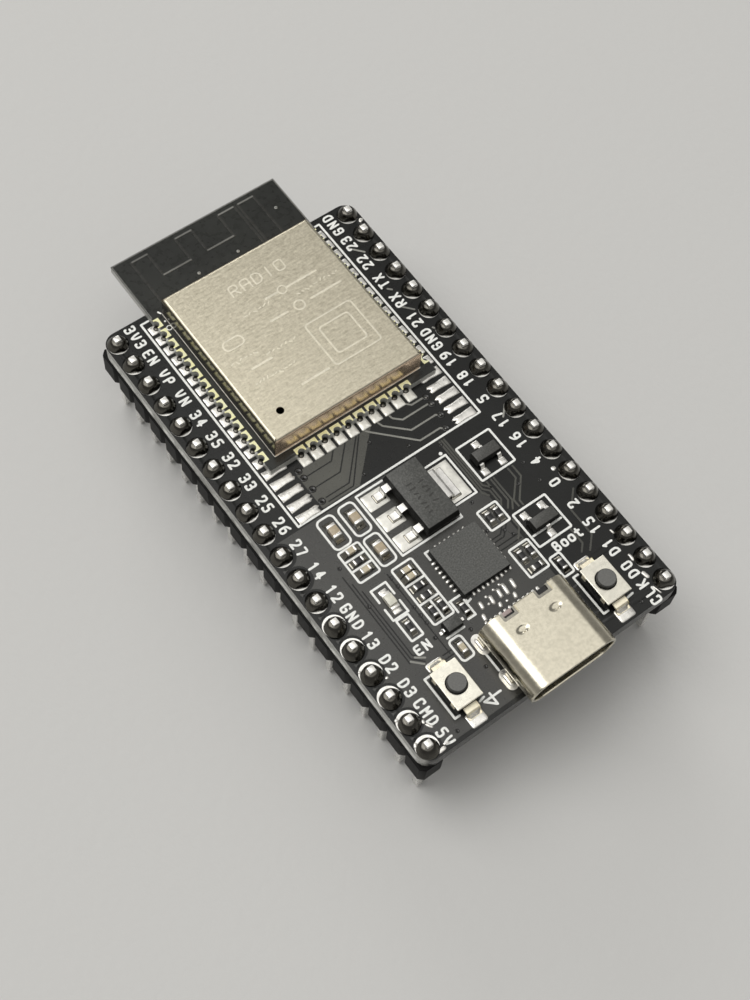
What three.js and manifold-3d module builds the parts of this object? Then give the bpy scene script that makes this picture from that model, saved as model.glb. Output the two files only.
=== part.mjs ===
// A microcontroller development board: a radio module under a metal can, a USB-C
// socket, two push switches, a few large parts and two rows of header pins.
// Millimetres, +Z up.
//
// Board coordinates are used inside the `board` group: x runs across the two pin
// rows, y from the USB end towards the aerial, and z up from the board's top face,
// with the centre of the pin grid at x = y = 0. The group is then moved so that the
// part stands on its pin tips with the origin in the middle of its footprint.

import * as THREE from "three";
import { mergeVertices } from "three/addons/utils/BufferGeometryUtils.js";
import Module from "manifold-3d";

const wasm = await Module();
wasm.setup();

// ---- driving dimensions ----

const PIN = { pitch: 2.54, count: 19, rowX: 12.7, side: 0.64, below: 6, above: 1.1, chamfer: 0.2 };
const HEADER = { side: 2.54, notch: 0.42, holeSide: 0.72 };
const BOARD = { halfWidth: 13.75, front: -24.1, rear: 24.2, thickness: 1.6, corner: 1.3, pinHole: 0.5 };

const RADIO = { width: 18, front: 4.35, rear: 29.85, thickness: 0.8, padPitch: 1.27, notch: 0.4 };
const RADIO_SIDE_PADS = { count: 14, lastY: 22.37 };
const RADIO_FRONT_PADS = { count: 10, firstX: -5.715 };
const CAN = { width: 15.8, front: 5.3, rear: 22.9, height: 2.5, wall: 0.2, bend: 0.25 };
const CAN_HOLE = { x: -5.7, y: 7.65, radius: 0.35 };
const RADIO_CHIP = { width: 5, depth: 5, height: 0.85, x: -1.6, y: 16.4 };
const FLASH_CHIP = { width: 4.9, depth: 3.9, height: 1.1, x: 3.4, y: 10.2 };

const USB = { x: 0.57, front: -25.05, rear: -17.95, width: 8.94, height: 3.2, wall: 0.3 };
const USB_NOTCH = { x: 1.78, width: 1.6, depth: 0.95 };
const USB_TAB = { x: 4.3, frontY: -22.2, rearY: -18.45, thickness: 0.24, depth: 0.9, below: 1.95 };
const USB_SLOT = { width: 0.66, length: 1.5 };
const USB_TONGUE = { width: 6.69, thickness: 0.7, front: -24.35, root: -19.6, clearance: 0.06 };

const SWITCH = { x: 7.95, y: -20.32, width: 2.62, length: 3.8, wallTop: 1.35, coverTop: 1.55 };
const SWITCH_WELL = { radius: 1.06, floor: 0.4 };
const PLUNGER = { radius: 0.86, top: 2.0, flangeRadius: 1.0, flangeTop: 1.3, foot: 1.05, gap: 0.05 };
const DOME = { radius: 0.95, rise: 0.25, thickness: 0.06 };
const TERMINAL = { width: 1.36, reach: 2.58, height: 0.5, foot: 2.9, footHeight: 0.16 };

const REGULATOR = { x: 0.2, y: -5, width: 3.5, length: 6.5, height: 1.65, standoff: 0.05, draft: 0.18 };
const REGULATOR_LEAD = { pitch: 2.3, width: 0.72, tabWidth: 3.0, thickness: 0.28, shoulder: 0.85, reach: 3.5 };
const USB_BRIDGE = { x: 0.08, y: -11.92, width: 5, height: 0.85 };
const TRANSISTOR = { length: 2.8, width: 1.3, height: 1.0, standoff: 0.05, draft: 0.08 };
const TRANSISTOR_LEAD = { offset: 0.95, width: 0.4, thickness: 0.15, shoulder: 0.5, reach: 1.2 };
const TRANSISTORS = [
  { name: "transistor_1", x: 7.5, y: -4.75, pairSide: -1 },
  { name: "transistor_2", x: 7.6, y: -12.65, pairSide: 1 },
];
const LED = { x: -7.6, y: -11.05, width: 0.8, length: 1.6, height: 0.6 };

const ROUND_SEGMENTS = 32;
const SMALL_SEGMENTS = 12;
const BOARD_HOLE_SEGMENTS = 6;

// ---- solids ----

function toSolid(geometry) {
  const bare = geometry.clone();
  bare.deleteAttribute("normal");
  bare.deleteAttribute("uv");
  const merged = mergeVertices(bare, 1e-5);
  const vertProperties = new Float32Array(merged.attributes.position.array);
  const triVerts = new Uint32Array(merged.index.array);
  return new wasm.Manifold(new wasm.Mesh({ numProp: 3, vertProperties, triVerts }));
}

function toGeometry(solid) {
  const mesh = solid.getMesh();
  const geometry = new THREE.BufferGeometry();
  geometry.setAttribute("position", new THREE.BufferAttribute(mesh.vertProperties, 3));
  geometry.setIndex(new THREE.BufferAttribute(mesh.triVerts, 1));
  geometry.computeVertexNormals();
  return geometry;
}

function join(...geometries) {
  const solids = geometries.map(toSolid);
  return toGeometry(solids.reduce((whole, next) => whole.add(next)));
}

function cut(geometry, ...tools) {
  const solids = tools.map(toSolid);
  return toGeometry(solids.reduce((whole, tool) => whole.subtract(tool), toSolid(geometry)));
}

// A box between two x, two y and two z values.
function block(x0, x1, y0, y1, z0, z1) {
  const geometry = new THREE.BoxGeometry(x1 - x0, y1 - y0, z1 - z0);
  return geometry.translate((x0 + x1) / 2, (y0 + y1) / 2, (z0 + z1) / 2);
}

// An upright cylinder from z0 to z1.
function post(radius, z0, z1, x = 0, y = 0, segments = ROUND_SEGMENTS) {
  const geometry = new THREE.CylinderGeometry(radius, radius, z1 - z0, segments);
  return geometry.rotateX(Math.PI / 2).translate(x, y, (z0 + z1) / 2);
}

// A box from z0 to z1 whose top is smaller than its foot by `draft` on each side.
function taperedBlock(width, length, z0, z1, draft) {
  const geometry = new THREE.BoxGeometry(width, length, z1 - z0);
  const position = geometry.attributes.position;
  for (let i = 0; i < position.count; i++) {
    if (position.getZ(i) < 0) continue;
    position.setX(i, position.getX(i) - Math.sign(position.getX(i)) * draft);
    position.setY(i, position.getY(i) - Math.sign(position.getY(i)) * draft);
  }
  return geometry.translate(0, 0, (z0 + z1) / 2);
}

function roundedRectangle(x0, x1, y0, y1, radius) {
  const shape = new THREE.Shape();
  shape.absarc(x1 - radius, y0 + radius, radius, -Math.PI / 2, 0, false);
  shape.absarc(x1 - radius, y1 - radius, radius, 0, Math.PI / 2, false);
  shape.absarc(x0 + radius, y1 - radius, radius, Math.PI / 2, Math.PI, false);
  shape.absarc(x0 + radius, y0 + radius, radius, Math.PI, Math.PI * 1.5, false);
  shape.closePath();
  return shape;
}

function slab(shape, z0, z1, curveSegments) {
  const options = { depth: z1 - z0, bevelEnabled: false, curveSegments };
  return new THREE.ExtrudeGeometry(shape, options).translate(0, 0, z0);
}

// ---- the main board ----

function pinY(index) {
  return ((PIN.count - 1) / 2 - index) * PIN.pitch;
}

function boardGeometry() {
  const { halfWidth, front, rear, thickness, corner, pinHole } = BOARD;
  const outline = roundedRectangle(-halfWidth, halfWidth, front, rear, corner);
  for (const side of [-1, 1]) {
    for (let i = 0; i < PIN.count; i++) {
      outline.holes.push(new THREE.Path().absarc(side * PIN.rowX, pinY(i), pinHole, 0, Math.PI * 2, true));
    }
    for (const y of [USB_TAB.frontY, USB_TAB.rearY]) {
      outline.holes.push(usbSlot(USB.x + side * USB_TAB.x, y));
    }
  }
  return slab(outline, -thickness, 0, BOARD_HOLE_SEGMENTS);
}

function usbSlot(x, y) {
  const radius = USB_SLOT.width / 2;
  const straight = USB_SLOT.length / 2 - radius;
  const slot = new THREE.Path();
  slot.absarc(x, y + straight, radius, Math.PI, 0, true);
  slot.absarc(x, y - straight, radius, 0, -Math.PI, true);
  slot.closePath();
  return slot;
}

// ---- header pins and the plastic strips that hold them ----

function headerStripGeometry() {
  const half = HEADER.side / 2;
  const shape = new THREE.Shape();
  const rowEnd = (PIN.count * PIN.pitch) / 2;
  const corners = [];
  for (let i = 0; i < PIN.count; i++) {
    corners.push([half - HEADER.notch, -rowEnd + i * PIN.pitch]);
    corners.push([half, -rowEnd + i * PIN.pitch + HEADER.notch]);
    corners.push([half, -rowEnd + (i + 1) * PIN.pitch - HEADER.notch]);
  }
  corners.push([half - HEADER.notch, rowEnd]);
  const outline = [...corners, ...corners.map(([x, y]) => [-x, -y])];
  outline.forEach(([x, y], i) => (i ? shape.lineTo(x, y) : shape.moveTo(x, y)));
  shape.closePath();
  const h = HEADER.holeSide / 2;
  for (let i = 0; i < PIN.count; i++) {
    const hole = new THREE.Path();
    hole.moveTo(-h, pinY(i) - h).lineTo(-h, pinY(i) + h).lineTo(h, pinY(i) + h).lineTo(h, pinY(i) - h);
    hole.closePath();
    shape.holes.push(hole);
  }
  return slab(shape, -BOARD.thickness - HEADER.side, -BOARD.thickness, 1);
}

// A square pin is a four-sided turned profile with a blunt point at each end.
function pinGeometry() {
  const bottom = -BOARD.thickness - HEADER.side - PIN.below;
  const corner = PIN.side / Math.SQRT2;
  const point = corner - PIN.chamfer;
  const profile = [
    new THREE.Vector2(0, bottom),
    new THREE.Vector2(point, bottom),
    new THREE.Vector2(corner, bottom + PIN.chamfer * 2),
    new THREE.Vector2(corner, PIN.above - PIN.chamfer),
    new THREE.Vector2(point, PIN.above),
    new THREE.Vector2(0, PIN.above),
  ];
  return new THREE.LatheGeometry(profile, 4).rotateX(Math.PI / 2).rotateZ(Math.PI / 4);
}

// ---- radio module ----

function radioBoardGeometry() {
  const { width, front, rear, thickness, padPitch, notch } = RADIO;
  const cutters = [];
  const notchAt = (x, y) => cutters.push(post(notch, -1, thickness + 1, x, y, SMALL_SEGMENTS));
  for (let i = 0; i < RADIO_SIDE_PADS.count; i++) {
    notchAt(-width / 2, RADIO_SIDE_PADS.lastY - i * padPitch);
    notchAt(width / 2, RADIO_SIDE_PADS.lastY - i * padPitch);
  }
  for (let i = 0; i < RADIO_FRONT_PADS.count; i++) {
    notchAt(RADIO_FRONT_PADS.firstX + i * padPitch, front);
  }
  return cut(block(-width / 2, width / 2, front, rear, 0, thickness), ...cutters);
}

// A folded metal can, open underneath, with softly bent top edges.
function canGeometry() {
  const { width, front, rear, height, wall, bend } = CAN;
  const base = RADIO.thickness;
  const half = width / 2;
  const shape = roundedRectangle(-half + bend, half - bend, front + bend, rear - bend, 0.05);
  const options = { depth: height, bevelThickness: bend, bevelSize: bend, bevelSegments: 4, curveSegments: 2 };
  const body = new THREE.ExtrudeGeometry(shape, options).translate(0, 0, base - bend);
  const below = block(-half - 1, half + 1, front - 1, rear + 1, base - 2, base);
  const inside = block(-half + wall, half - wall, front + wall, rear - wall, base - 1, base + height - wall);
  const hole = post(CAN_HOLE.radius, base, base + height + 1, CAN_HOLE.x, CAN_HOLE.y, 24);
  return cut(body, below, inside, hole);
}

function canChipGeometry({ width, depth, height }) {
  return taperedBlock(width, depth, RADIO.thickness, RADIO.thickness + height, 0.05);
}

// ---- USB-C socket ----

// The socket's section is a slot shape with fully round ends, drawn in x and z.
function usbSection(inset) {
  const radius = USB.height / 2 - inset;
  const straight = USB.width / 2 - USB.height / 2;
  const path = new THREE.Shape();
  path.absarc(straight, USB.height / 2, radius, -Math.PI / 2, Math.PI / 2, false);
  path.absarc(-straight, USB.height / 2, radius, Math.PI / 2, Math.PI * 1.5, false);
  path.closePath();
  return path;
}

function alongY(shape, y0, y1) {
  const options = { depth: y1 - y0, bevelEnabled: false, curveSegments: SMALL_SEGMENTS };
  return new THREE.ExtrudeGeometry(shape, options).rotateX(Math.PI / 2).translate(0, y1, 0);
}

function usbShellGeometry() {
  const section = usbSection(0);
  section.holes.push(usbSection(USB.wall));
  const tube = alongY(section, USB.front, USB.rear);
  const notches = [-1, 1].map((side) => {
    const x = side * USB_NOTCH.x;
    const half = USB_NOTCH.width / 2;
    return block(x - half, x + half, USB.rear - USB_NOTCH.depth, USB.rear + 1, USB.height - 0.5, USB.height + 1);
  });
  const tabs = [];
  for (const side of [-1, 1]) {
    for (const y of [USB_TAB.frontY, USB_TAB.rearY]) {
      const x = side * USB_TAB.x;
      const t = USB_TAB.thickness / 2;
      const d = USB_TAB.depth / 2;
      tabs.push(block(x - t, x + t, y - d, y + d, -USB_TAB.below, USB.height / 2));
    }
  }
  return join(cut(tube, ...notches), ...tabs);
}

// The moulded insulator fills the back of the shell and carries the contact tongue.
function usbHousingGeometry() {
  const { width, thickness, front, root, clearance } = USB_TONGUE;
  const back = alongY(usbSection(USB.wall + clearance), root, USB.rear - 0.1);
  const middle = USB.height / 2;
  const tongue = block(-width / 2, width / 2, front, root + 0.2, middle - thickness / 2, middle + thickness / 2);
  return join(back, tongue);
}

// ---- push switches ----

function switchBaseGeometry() {
  const halfWidth = SWITCH.width / 2 - 0.04;
  const halfLength = SWITCH.length / 2 - 0.04;
  const body = block(-halfWidth, halfWidth, -halfLength, halfLength, 0, SWITCH.wallTop);
  const well = post(SWITCH_WELL.radius, SWITCH_WELL.floor, SWITCH.wallTop + 1);
  const half = TERMINAL.width / 2;
  const legs = block(-half, half, -TERMINAL.reach, TERMINAL.reach, 0, TERMINAL.height);
  const feet = block(-half, half, -TERMINAL.foot, TERMINAL.foot, 0, TERMINAL.footHeight);
  return cut(join(body, legs, feet), well);
}

function switchCoverGeometry() {
  const half = SWITCH.width / 2;
  const plate = block(-half, half, -SWITCH.length / 2, SWITCH.length / 2, SWITCH.wallTop, SWITCH.coverTop);
  return cut(plate, post(PLUNGER.radius + PLUNGER.gap, 0, SWITCH.coverTop + 1));
}

// The springy contact dome under the plunger, standing on the floor of the well.
function switchDomeGeometry() {
  const { radius, rise, thickness } = DOME;
  const floor = SWITCH_WELL.floor;
  const steps = 6;
  const outer = [];
  const inner = [];
  for (let i = 0; i <= steps; i++) {
    const share = i / steps;
    const height = rise * Math.cos((share * Math.PI) / 2);
    outer.push(new THREE.Vector2(radius * share, floor + height + thickness));
    inner.push(new THREE.Vector2(radius * share, floor + height));
  }
  const profile = [...inner, ...outer.reverse()];
  return new THREE.LatheGeometry(profile, 24).rotateX(Math.PI / 2);
}

function plungerGeometry() {
  const { radius, top, flangeRadius, flangeTop, foot } = PLUNGER;
  const edge = 0.08;
  const profile = [
    new THREE.Vector2(0, foot),
    new THREE.Vector2(flangeRadius, foot),
    new THREE.Vector2(flangeRadius, flangeTop),
    new THREE.Vector2(radius, flangeTop),
    new THREE.Vector2(radius, top - edge),
    new THREE.Vector2(radius - edge, top),
    new THREE.Vector2(0, top),
  ];
  return new THREE.LatheGeometry(profile, ROUND_SEGMENTS).rotateX(Math.PI / 2);
}

// ---- other parts on the board ----

// A moulded package: its sides taper to the top and to the foot from a mid line.
function packageGeometry(width, length, standoff, height, draft) {
  const middle = (standoff + height) / 2;
  const upper = taperedBlock(width, length, middle, height, draft);
  const lower = taperedBlock(width, length, -middle, -standoff, draft).rotateX(Math.PI);
  return join(upper, lower);
}

// A lead that leaves the package at `shoulder` height and bends down to the board,
// drawn pointing along +x from the package's centre.
function leadGeometry(width, { thickness, shoulder, reach }, start) {
  const bend = start + (reach - start) * 0.35;
  const half = width / 2;
  const arm = block(0, bend, -half, half, shoulder - thickness, shoulder);
  const drop = block(bend - thickness, bend, -half, half, 0, shoulder);
  const foot = block(bend - thickness, reach, -half, half, 0, thickness);
  return join(arm, drop, foot);
}

function regulatorGeometry() {
  const { width, length, standoff, height, draft } = REGULATOR;
  const leads = [-1, 0, 1].map((step) => {
    const lead = leadGeometry(REGULATOR_LEAD.width, REGULATOR_LEAD, width / 2);
    return lead.rotateZ(Math.PI).translate(0, step * REGULATOR_LEAD.pitch, 0);
  });
  const tab = leadGeometry(REGULATOR_LEAD.tabWidth, REGULATOR_LEAD, width / 2);
  return join(packageGeometry(width, length, standoff, height, draft), ...leads, tab);
}

// Two leads stand on one long side and one on the other; pairSide is -1 or 1 in y.
function transistorGeometry(pairSide) {
  const { length, width, standoff, height, draft } = TRANSISTOR;
  const lead = (x, side) => {
    const one = leadGeometry(TRANSISTOR_LEAD.width, TRANSISTOR_LEAD, width / 2);
    return one.rotateZ((side * Math.PI) / 2).translate(x, 0, 0);
  };
  const { offset } = TRANSISTOR_LEAD;
  const leads = [lead(-offset, pairSide), lead(offset, pairSide), lead(0, -pairSide)];
  return join(packageGeometry(length, width, standoff, height, draft), ...leads);
}

// ---- finishes ----

function finish(color, roughness, metalness) {
  return new THREE.MeshStandardMaterial({ color, roughness, metalness });
}

const finishes = {
  solderMask: () => finish(0x1d1e1e, 0.45, 0.0),
  blackPlastic: () => finish(0x17181a, 0.55, 0.0),
  packagePlastic: () => finish(0x4a4b4b, 0.75, 0.0),
  pinMetal: () => finish(0xd9d8d2, 0.3, 1.0),
  canMetal: () => finish(0xcfc7b2, 0.38, 1.0),
  shellMetal: () => finish(0xcdc6b6, 0.33, 1.0),
  coverMetal: () => finish(0xd3cdbb, 0.36, 1.0),
  springSteel: () => finish(0xb8b8b4, 0.3, 1.0),
  plungerGrey: () => finish(0x5c5c5c, 0.6, 0.0),
  ledWhite: () => finish(0xe8e4d4, 0.5, 0.0),
};

// ---- assembly ----

const board = new THREE.Group();

function add(name, geometry, material, x = 0, y = 0, z = 0) {
  const mesh = new THREE.Mesh(geometry, material);
  mesh.name = name;
  mesh.position.set(x, y, z);
  board.add(mesh);
}

function twoDigits(number) {
  return String(number).padStart(2, "0");
}

add("board_pcb", boardGeometry(), finishes.solderMask());
for (const [side, x] of [["left", -PIN.rowX], ["right", PIN.rowX]]) {
  add(`header_strip_${side}`, headerStripGeometry(), finishes.blackPlastic(), x);
  for (let i = 0; i < PIN.count; i++) {
    add(`pin_${side}_${twoDigits(i + 1)}`, pinGeometry(), finishes.pinMetal(), x, pinY(i));
  }
}

add("radio_pcb", radioBoardGeometry(), finishes.solderMask());
add("radio_can", canGeometry(), finishes.canMetal());
add("radio_chip", canChipGeometry(RADIO_CHIP), finishes.packagePlastic(), RADIO_CHIP.x, RADIO_CHIP.y);
add("flash_chip", canChipGeometry(FLASH_CHIP), finishes.packagePlastic(), FLASH_CHIP.x, FLASH_CHIP.y);

add("usb_shell", usbShellGeometry(), finishes.shellMetal(), USB.x);
add("usb_housing", usbHousingGeometry(), finishes.blackPlastic(), USB.x);

for (const [name, side] of [["en", -1], ["boot", 1]]) {
  const x = side * SWITCH.x;
  add(`${name}_switch_base`, switchBaseGeometry(), finishes.blackPlastic(), x, SWITCH.y);
  add(`${name}_switch_cover`, switchCoverGeometry(), finishes.coverMetal(), x, SWITCH.y);
  add(`${name}_switch_dome`, switchDomeGeometry(), finishes.springSteel(), x, SWITCH.y);
  add(`${name}_plunger`, plungerGeometry(), finishes.plungerGrey(), x, SWITCH.y);
}

add("voltage_regulator", regulatorGeometry(), finishes.packagePlastic(), REGULATOR.x, REGULATOR.y);
const bridge = taperedBlock(USB_BRIDGE.width, USB_BRIDGE.width, 0, USB_BRIDGE.height, 0.03);
add("usb_bridge_chip", bridge, finishes.packagePlastic(), USB_BRIDGE.x, USB_BRIDGE.y);
for (const { name, x, y, pairSide } of TRANSISTORS) {
  add(name, transistorGeometry(pairSide), finishes.packagePlastic(), x, y);
}
const led = taperedBlock(LED.width, LED.length, 0, LED.height, 0.03);
add("power_led", led, finishes.ledWhite(), LED.x, LED.y);

const footToBoardTop = PIN.below + HEADER.side + BOARD.thickness;
board.position.set(0, -(USB.front + RADIO.rear) / 2, footToBoardTop);

const part = new THREE.Group();
part.add(board);

export default part;
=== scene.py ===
import math
import random

import bmesh
import bpy
from mathutils import Matrix, Vector
from mathutils.geometry import delaunay_2d_cdt


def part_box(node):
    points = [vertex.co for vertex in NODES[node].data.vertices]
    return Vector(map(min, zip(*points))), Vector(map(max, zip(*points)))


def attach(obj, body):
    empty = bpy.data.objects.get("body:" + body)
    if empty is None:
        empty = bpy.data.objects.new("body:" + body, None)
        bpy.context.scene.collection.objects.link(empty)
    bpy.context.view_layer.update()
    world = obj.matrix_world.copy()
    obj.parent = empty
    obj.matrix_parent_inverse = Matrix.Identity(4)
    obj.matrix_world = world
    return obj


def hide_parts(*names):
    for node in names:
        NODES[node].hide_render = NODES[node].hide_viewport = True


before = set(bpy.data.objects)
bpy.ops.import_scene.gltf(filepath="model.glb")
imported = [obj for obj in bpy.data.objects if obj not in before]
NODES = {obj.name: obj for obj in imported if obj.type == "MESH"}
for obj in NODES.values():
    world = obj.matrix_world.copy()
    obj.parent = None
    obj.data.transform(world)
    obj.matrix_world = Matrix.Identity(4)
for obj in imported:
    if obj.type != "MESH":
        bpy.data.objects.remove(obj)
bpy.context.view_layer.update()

# Sizes below are board millimetres, as in the CAD source: x across the pin rows, y from
# the USB end to the aerial, z up from the board's top face, (0, 0) amid the pin grid.
MM = 0.001


def node_centre(node):
    low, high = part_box(node)
    return (low + high) / 2


GRID_CENTRE = (node_centre("pin_left_01") + node_centre("pin_right_19")) / 2
BOARD_LOW, BOARD_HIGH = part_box("board_pcb")
ORIGIN = Vector((GRID_CENTRE.x, GRID_CENTRE.y, BOARD_HIGH.z))
TO_FRAME = Matrix.Translation(ORIGIN) @ Matrix.Scale(MM, 4)


def local_box(node):
    """A CAD node's lowest and highest corners in board millimetres."""
    low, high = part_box(node)
    return (low - ORIGIN) / MM, (high - ORIGIN) / MM


PIN_PITCH = 2.54
PIN_COUNT = 19
PIN_X = 12.7
MASK_LIFT = 0.02
INK_LIFT = 0.04
INK_WIDTH = 0.2
PAD_LIFT = 0.05
SINK = 0.01
RADIO_LOW, RADIO_HIGH = local_box("radio_pcb")
RADIO_TOP = RADIO_HIGH.z
USB_LOW, USB_HIGH = local_box("usb_shell")
USB_X = (USB_LOW.x + USB_HIGH.x) / 2
USB_TAB_X = 4.3
USB_TAB_Y = (-22.2, -18.45)
USB_NOTCH_X = 1.78
USB_NOTCH_DEPTH = 0.5
RADIO_PAD_PITCH = 1.27
FRONT_PAD_XS = [-5.715 + i * RADIO_PAD_PITCH for i in range(10)]
SIDE_PAD_YS = [22.37 - i * RADIO_PAD_PITCH for i in range(14)]
WIRE_PAD_YS = [4.52 - i * RADIO_PAD_PITCH for i in range(5)]


def pin_y(index):
    return ((PIN_COUNT - 1) / 2 - index) * PIN_PITCH


# ---- camera and light

def add_camera():
    """The camera stands front left of the board and looks down on it."""
    azimuth, elevation, roll = math.radians(-43.236), math.radians(63.477), math.radians(7.482)
    data = bpy.data.cameras.new("camera")
    data.sensor_width = 36
    data.lens = 56.98
    data.clip_start = 0.01
    camera = bpy.data.objects.new("camera", data)
    turn = Matrix.Rotation(azimuth, 4, "Z")
    tilt = Matrix.Rotation(math.pi / 2 - elevation, 4, "X")
    spin = Matrix.Rotation(roll, 4, "Z")
    place = Matrix.Translation(ORIGIN + Vector((-44.684, -47.058, 121.971)) * MM)
    camera.matrix_world = place @ turn @ tilt @ spin
    bpy.context.scene.collection.objects.link(camera)
    bpy.context.scene.camera = camera


def add_lamp_light(name, place, size, power):
    """A soft, slightly warm lamp that faces the board."""
    data = bpy.data.lights.new(name, "AREA")
    data.shape = "RECTANGLE"
    data.size, data.size_y = size
    data.energy = power
    data.color = (1, 0.985, 0.96)
    light = bpy.data.objects.new(name, data)
    light.location = place
    light.rotation_euler = (-Vector(place)).to_track_quat("-Z", "Y").to_euler()
    bpy.context.scene.collection.objects.link(light)


def add_studio():
    """A room that brightens towards its ceiling, with soft lamps overhead and behind."""
    world = bpy.data.worlds.new("studio")
    world.use_nodes = True
    nodes, links = world.node_tree.nodes, world.node_tree.links
    direction = nodes.new("ShaderNodeTexCoord").outputs["Generated"]
    parts = nodes.new("ShaderNodeSeparateXYZ")
    links.new(direction, parts.inputs["Vector"])
    ramp = nodes.new("ShaderNodeValToRGB")
    # How bright the room is at each height, from straight down to straight up.
    stops = [(0.0, 0.42), (0.3, 0.26), (0.7, 0.24), (0.81, 0.30), (0.87, 0.86), (0.93, 1.2), (1.0, 1.3)]
    while len(ramp.color_ramp.elements) < len(stops):
        ramp.color_ramp.elements.new(0.5)
    for element, (height, level) in zip(ramp.color_ramp.elements, stops):
        element.position = height
        element.color = (level, level * 0.985, level * 0.955, 1)
    links.new(parts.outputs["Z"], ramp.inputs["Fac"])
    links.new(ramp.outputs["Color"], nodes["Background"].inputs["Color"])
    nodes["Background"].inputs["Strength"].default_value = 1.0
    bpy.context.scene.world = world
    add_lamp_light("overhead", (-0.30, 0.36, 0.93), (0.8, 0.8), 5.0)
    add_lamp_light("rear", (0.45, 1.2, 0.55), (0.5, 0.4), 2.2)
    bpy.context.scene.view_settings.view_transform = "Standard"


def add_floor():
    size = 6.0
    mesh = bpy.data.meshes.new("floor")
    corners = [(-size, -size, 0), (size, -size, 0), (size, size, 0), (-size, size, 0)]
    mesh.from_pydata(corners, [], [(0, 1, 2, 3)])
    floor = bpy.data.objects.new("floor", mesh)
    bpy.context.scene.collection.objects.link(floor)
    look = Look("floor_paper", (0.62, 0.62, 0.61), roughness=0.85)
    look.bump(look.noise(900, 3), 0.15, 0.3)
    mesh.materials.append(look.material)


# ---- materials

# Where a Mix node keeps its two inputs and its result, for each kind of value.
MIX_SOCKETS = {"FLOAT": (2, 3, 0), "RGBA": (6, 7, 2)}


class Look:
    """A Principled material with short helpers for procedural colour, roughness and bump.

    Patterns use object coordinates, which are the frame's metres on every piece. The plain
    values that it starts with are typical ones, and patterns are put over most of them.
    """

    def __init__(self, name, color, metallic=0.0, roughness=0.5):
        self.material = bpy.data.materials.new(name)
        self.material.use_nodes = True
        self.tree = self.material.node_tree
        self.shader = self.tree.nodes["Principled BSDF"]
        self.put("Base Color", color)
        self.put("Metallic", metallic)
        self.put("Roughness", roughness)
        self.coordinates = self.node("TexCoord", "Object", {})
        self.last_bump = None

    def feed(self, socket, value):
        """Joins another node's output to a socket, or sets the socket to a plain value."""
        if isinstance(value, bpy.types.NodeSocket):
            self.tree.links.new(value, socket)
        elif socket.type == "RGBA":
            socket.default_value = (*value, 1)
        else:
            socket.default_value = value

    def put(self, socket, value):
        self.feed(self.shader.inputs[socket], value)

    def node(self, kind, output, inputs, **settings):
        """Adds a node, feeds its inputs and returns one of its outputs."""
        made = self.tree.nodes.new("ShaderNode" + kind)
        for setting, value in settings.items():
            setattr(made, setting, value)
        for socket, value in inputs.items():
            self.feed(made.inputs[socket], value)
        return made.outputs[output]

    def noise(self, scale, detail=2.0, roughness=0.5, stretch=None):
        place = self.coordinates
        if stretch:
            place = self.node("Mapping", "Vector", {"Vector": place, "Scale": stretch})
        inputs = {"Vector": place, "Scale": scale, "Detail": detail, "Roughness": roughness}
        return self.node("TexNoise", "Fac", inputs)

    def spread(self, value, low, high, to_low=0, to_high=1):
        inputs = {"Value": value, "From Min": low, "From Max": high, "To Min": to_low, "To Max": to_high}
        return self.node("MapRange", "Result", inputs)

    def patches(self, scale, detail, low=0.35, high=0.65, stretch=None):
        """Noise as patches of 0 and 1 with soft borders."""
        return self.spread(self.noise(scale, detail, stretch=stretch), low, high)

    def combine(self, operation, first, second):
        return self.node("Math", "Value", {0: first, 1: second}, operation=operation)

    def blend(self, factor, first, second, kind="RGBA"):
        a, b, result = MIX_SOCKETS[kind]
        return self.node("Mix", result, {0: factor, a: first, b: second}, data_type=kind)

    def paint(self, factor, first, second):
        self.put("Base Color", self.blend(factor, first, second))

    def facing(self, axis, low=0.55, high=0.8):
        """1 on faces that look along an axis, either way, and 0 on the others."""
        normal = self.node("NewGeometry", "Normal", {})
        share = self.node("SeparateXYZ", axis, {"Vector": normal})
        return self.spread(self.combine("ABSOLUTE", share, 0), low, high)

    def between(self, axis, low, high):
        """0 to 1 from one place on an axis to another, in the frame's metres."""
        return self.spread(self.node("SeparateXYZ", axis, {"Vector": self.coordinates}), low, high)

    def bump(self, height, strength, depth):
        """Adds relief to what is there; depth is in millimetres."""
        inputs = {"Height": height, "Strength": strength, "Distance": depth * MM}
        if self.last_bump:
            inputs["Normal"] = self.last_bump
        self.last_bump = self.node("Bump", "Normal", inputs)
        self.put("Normal", self.last_bump)


def shade(tone, share):
    return tuple(level * share for level in tone)


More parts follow.
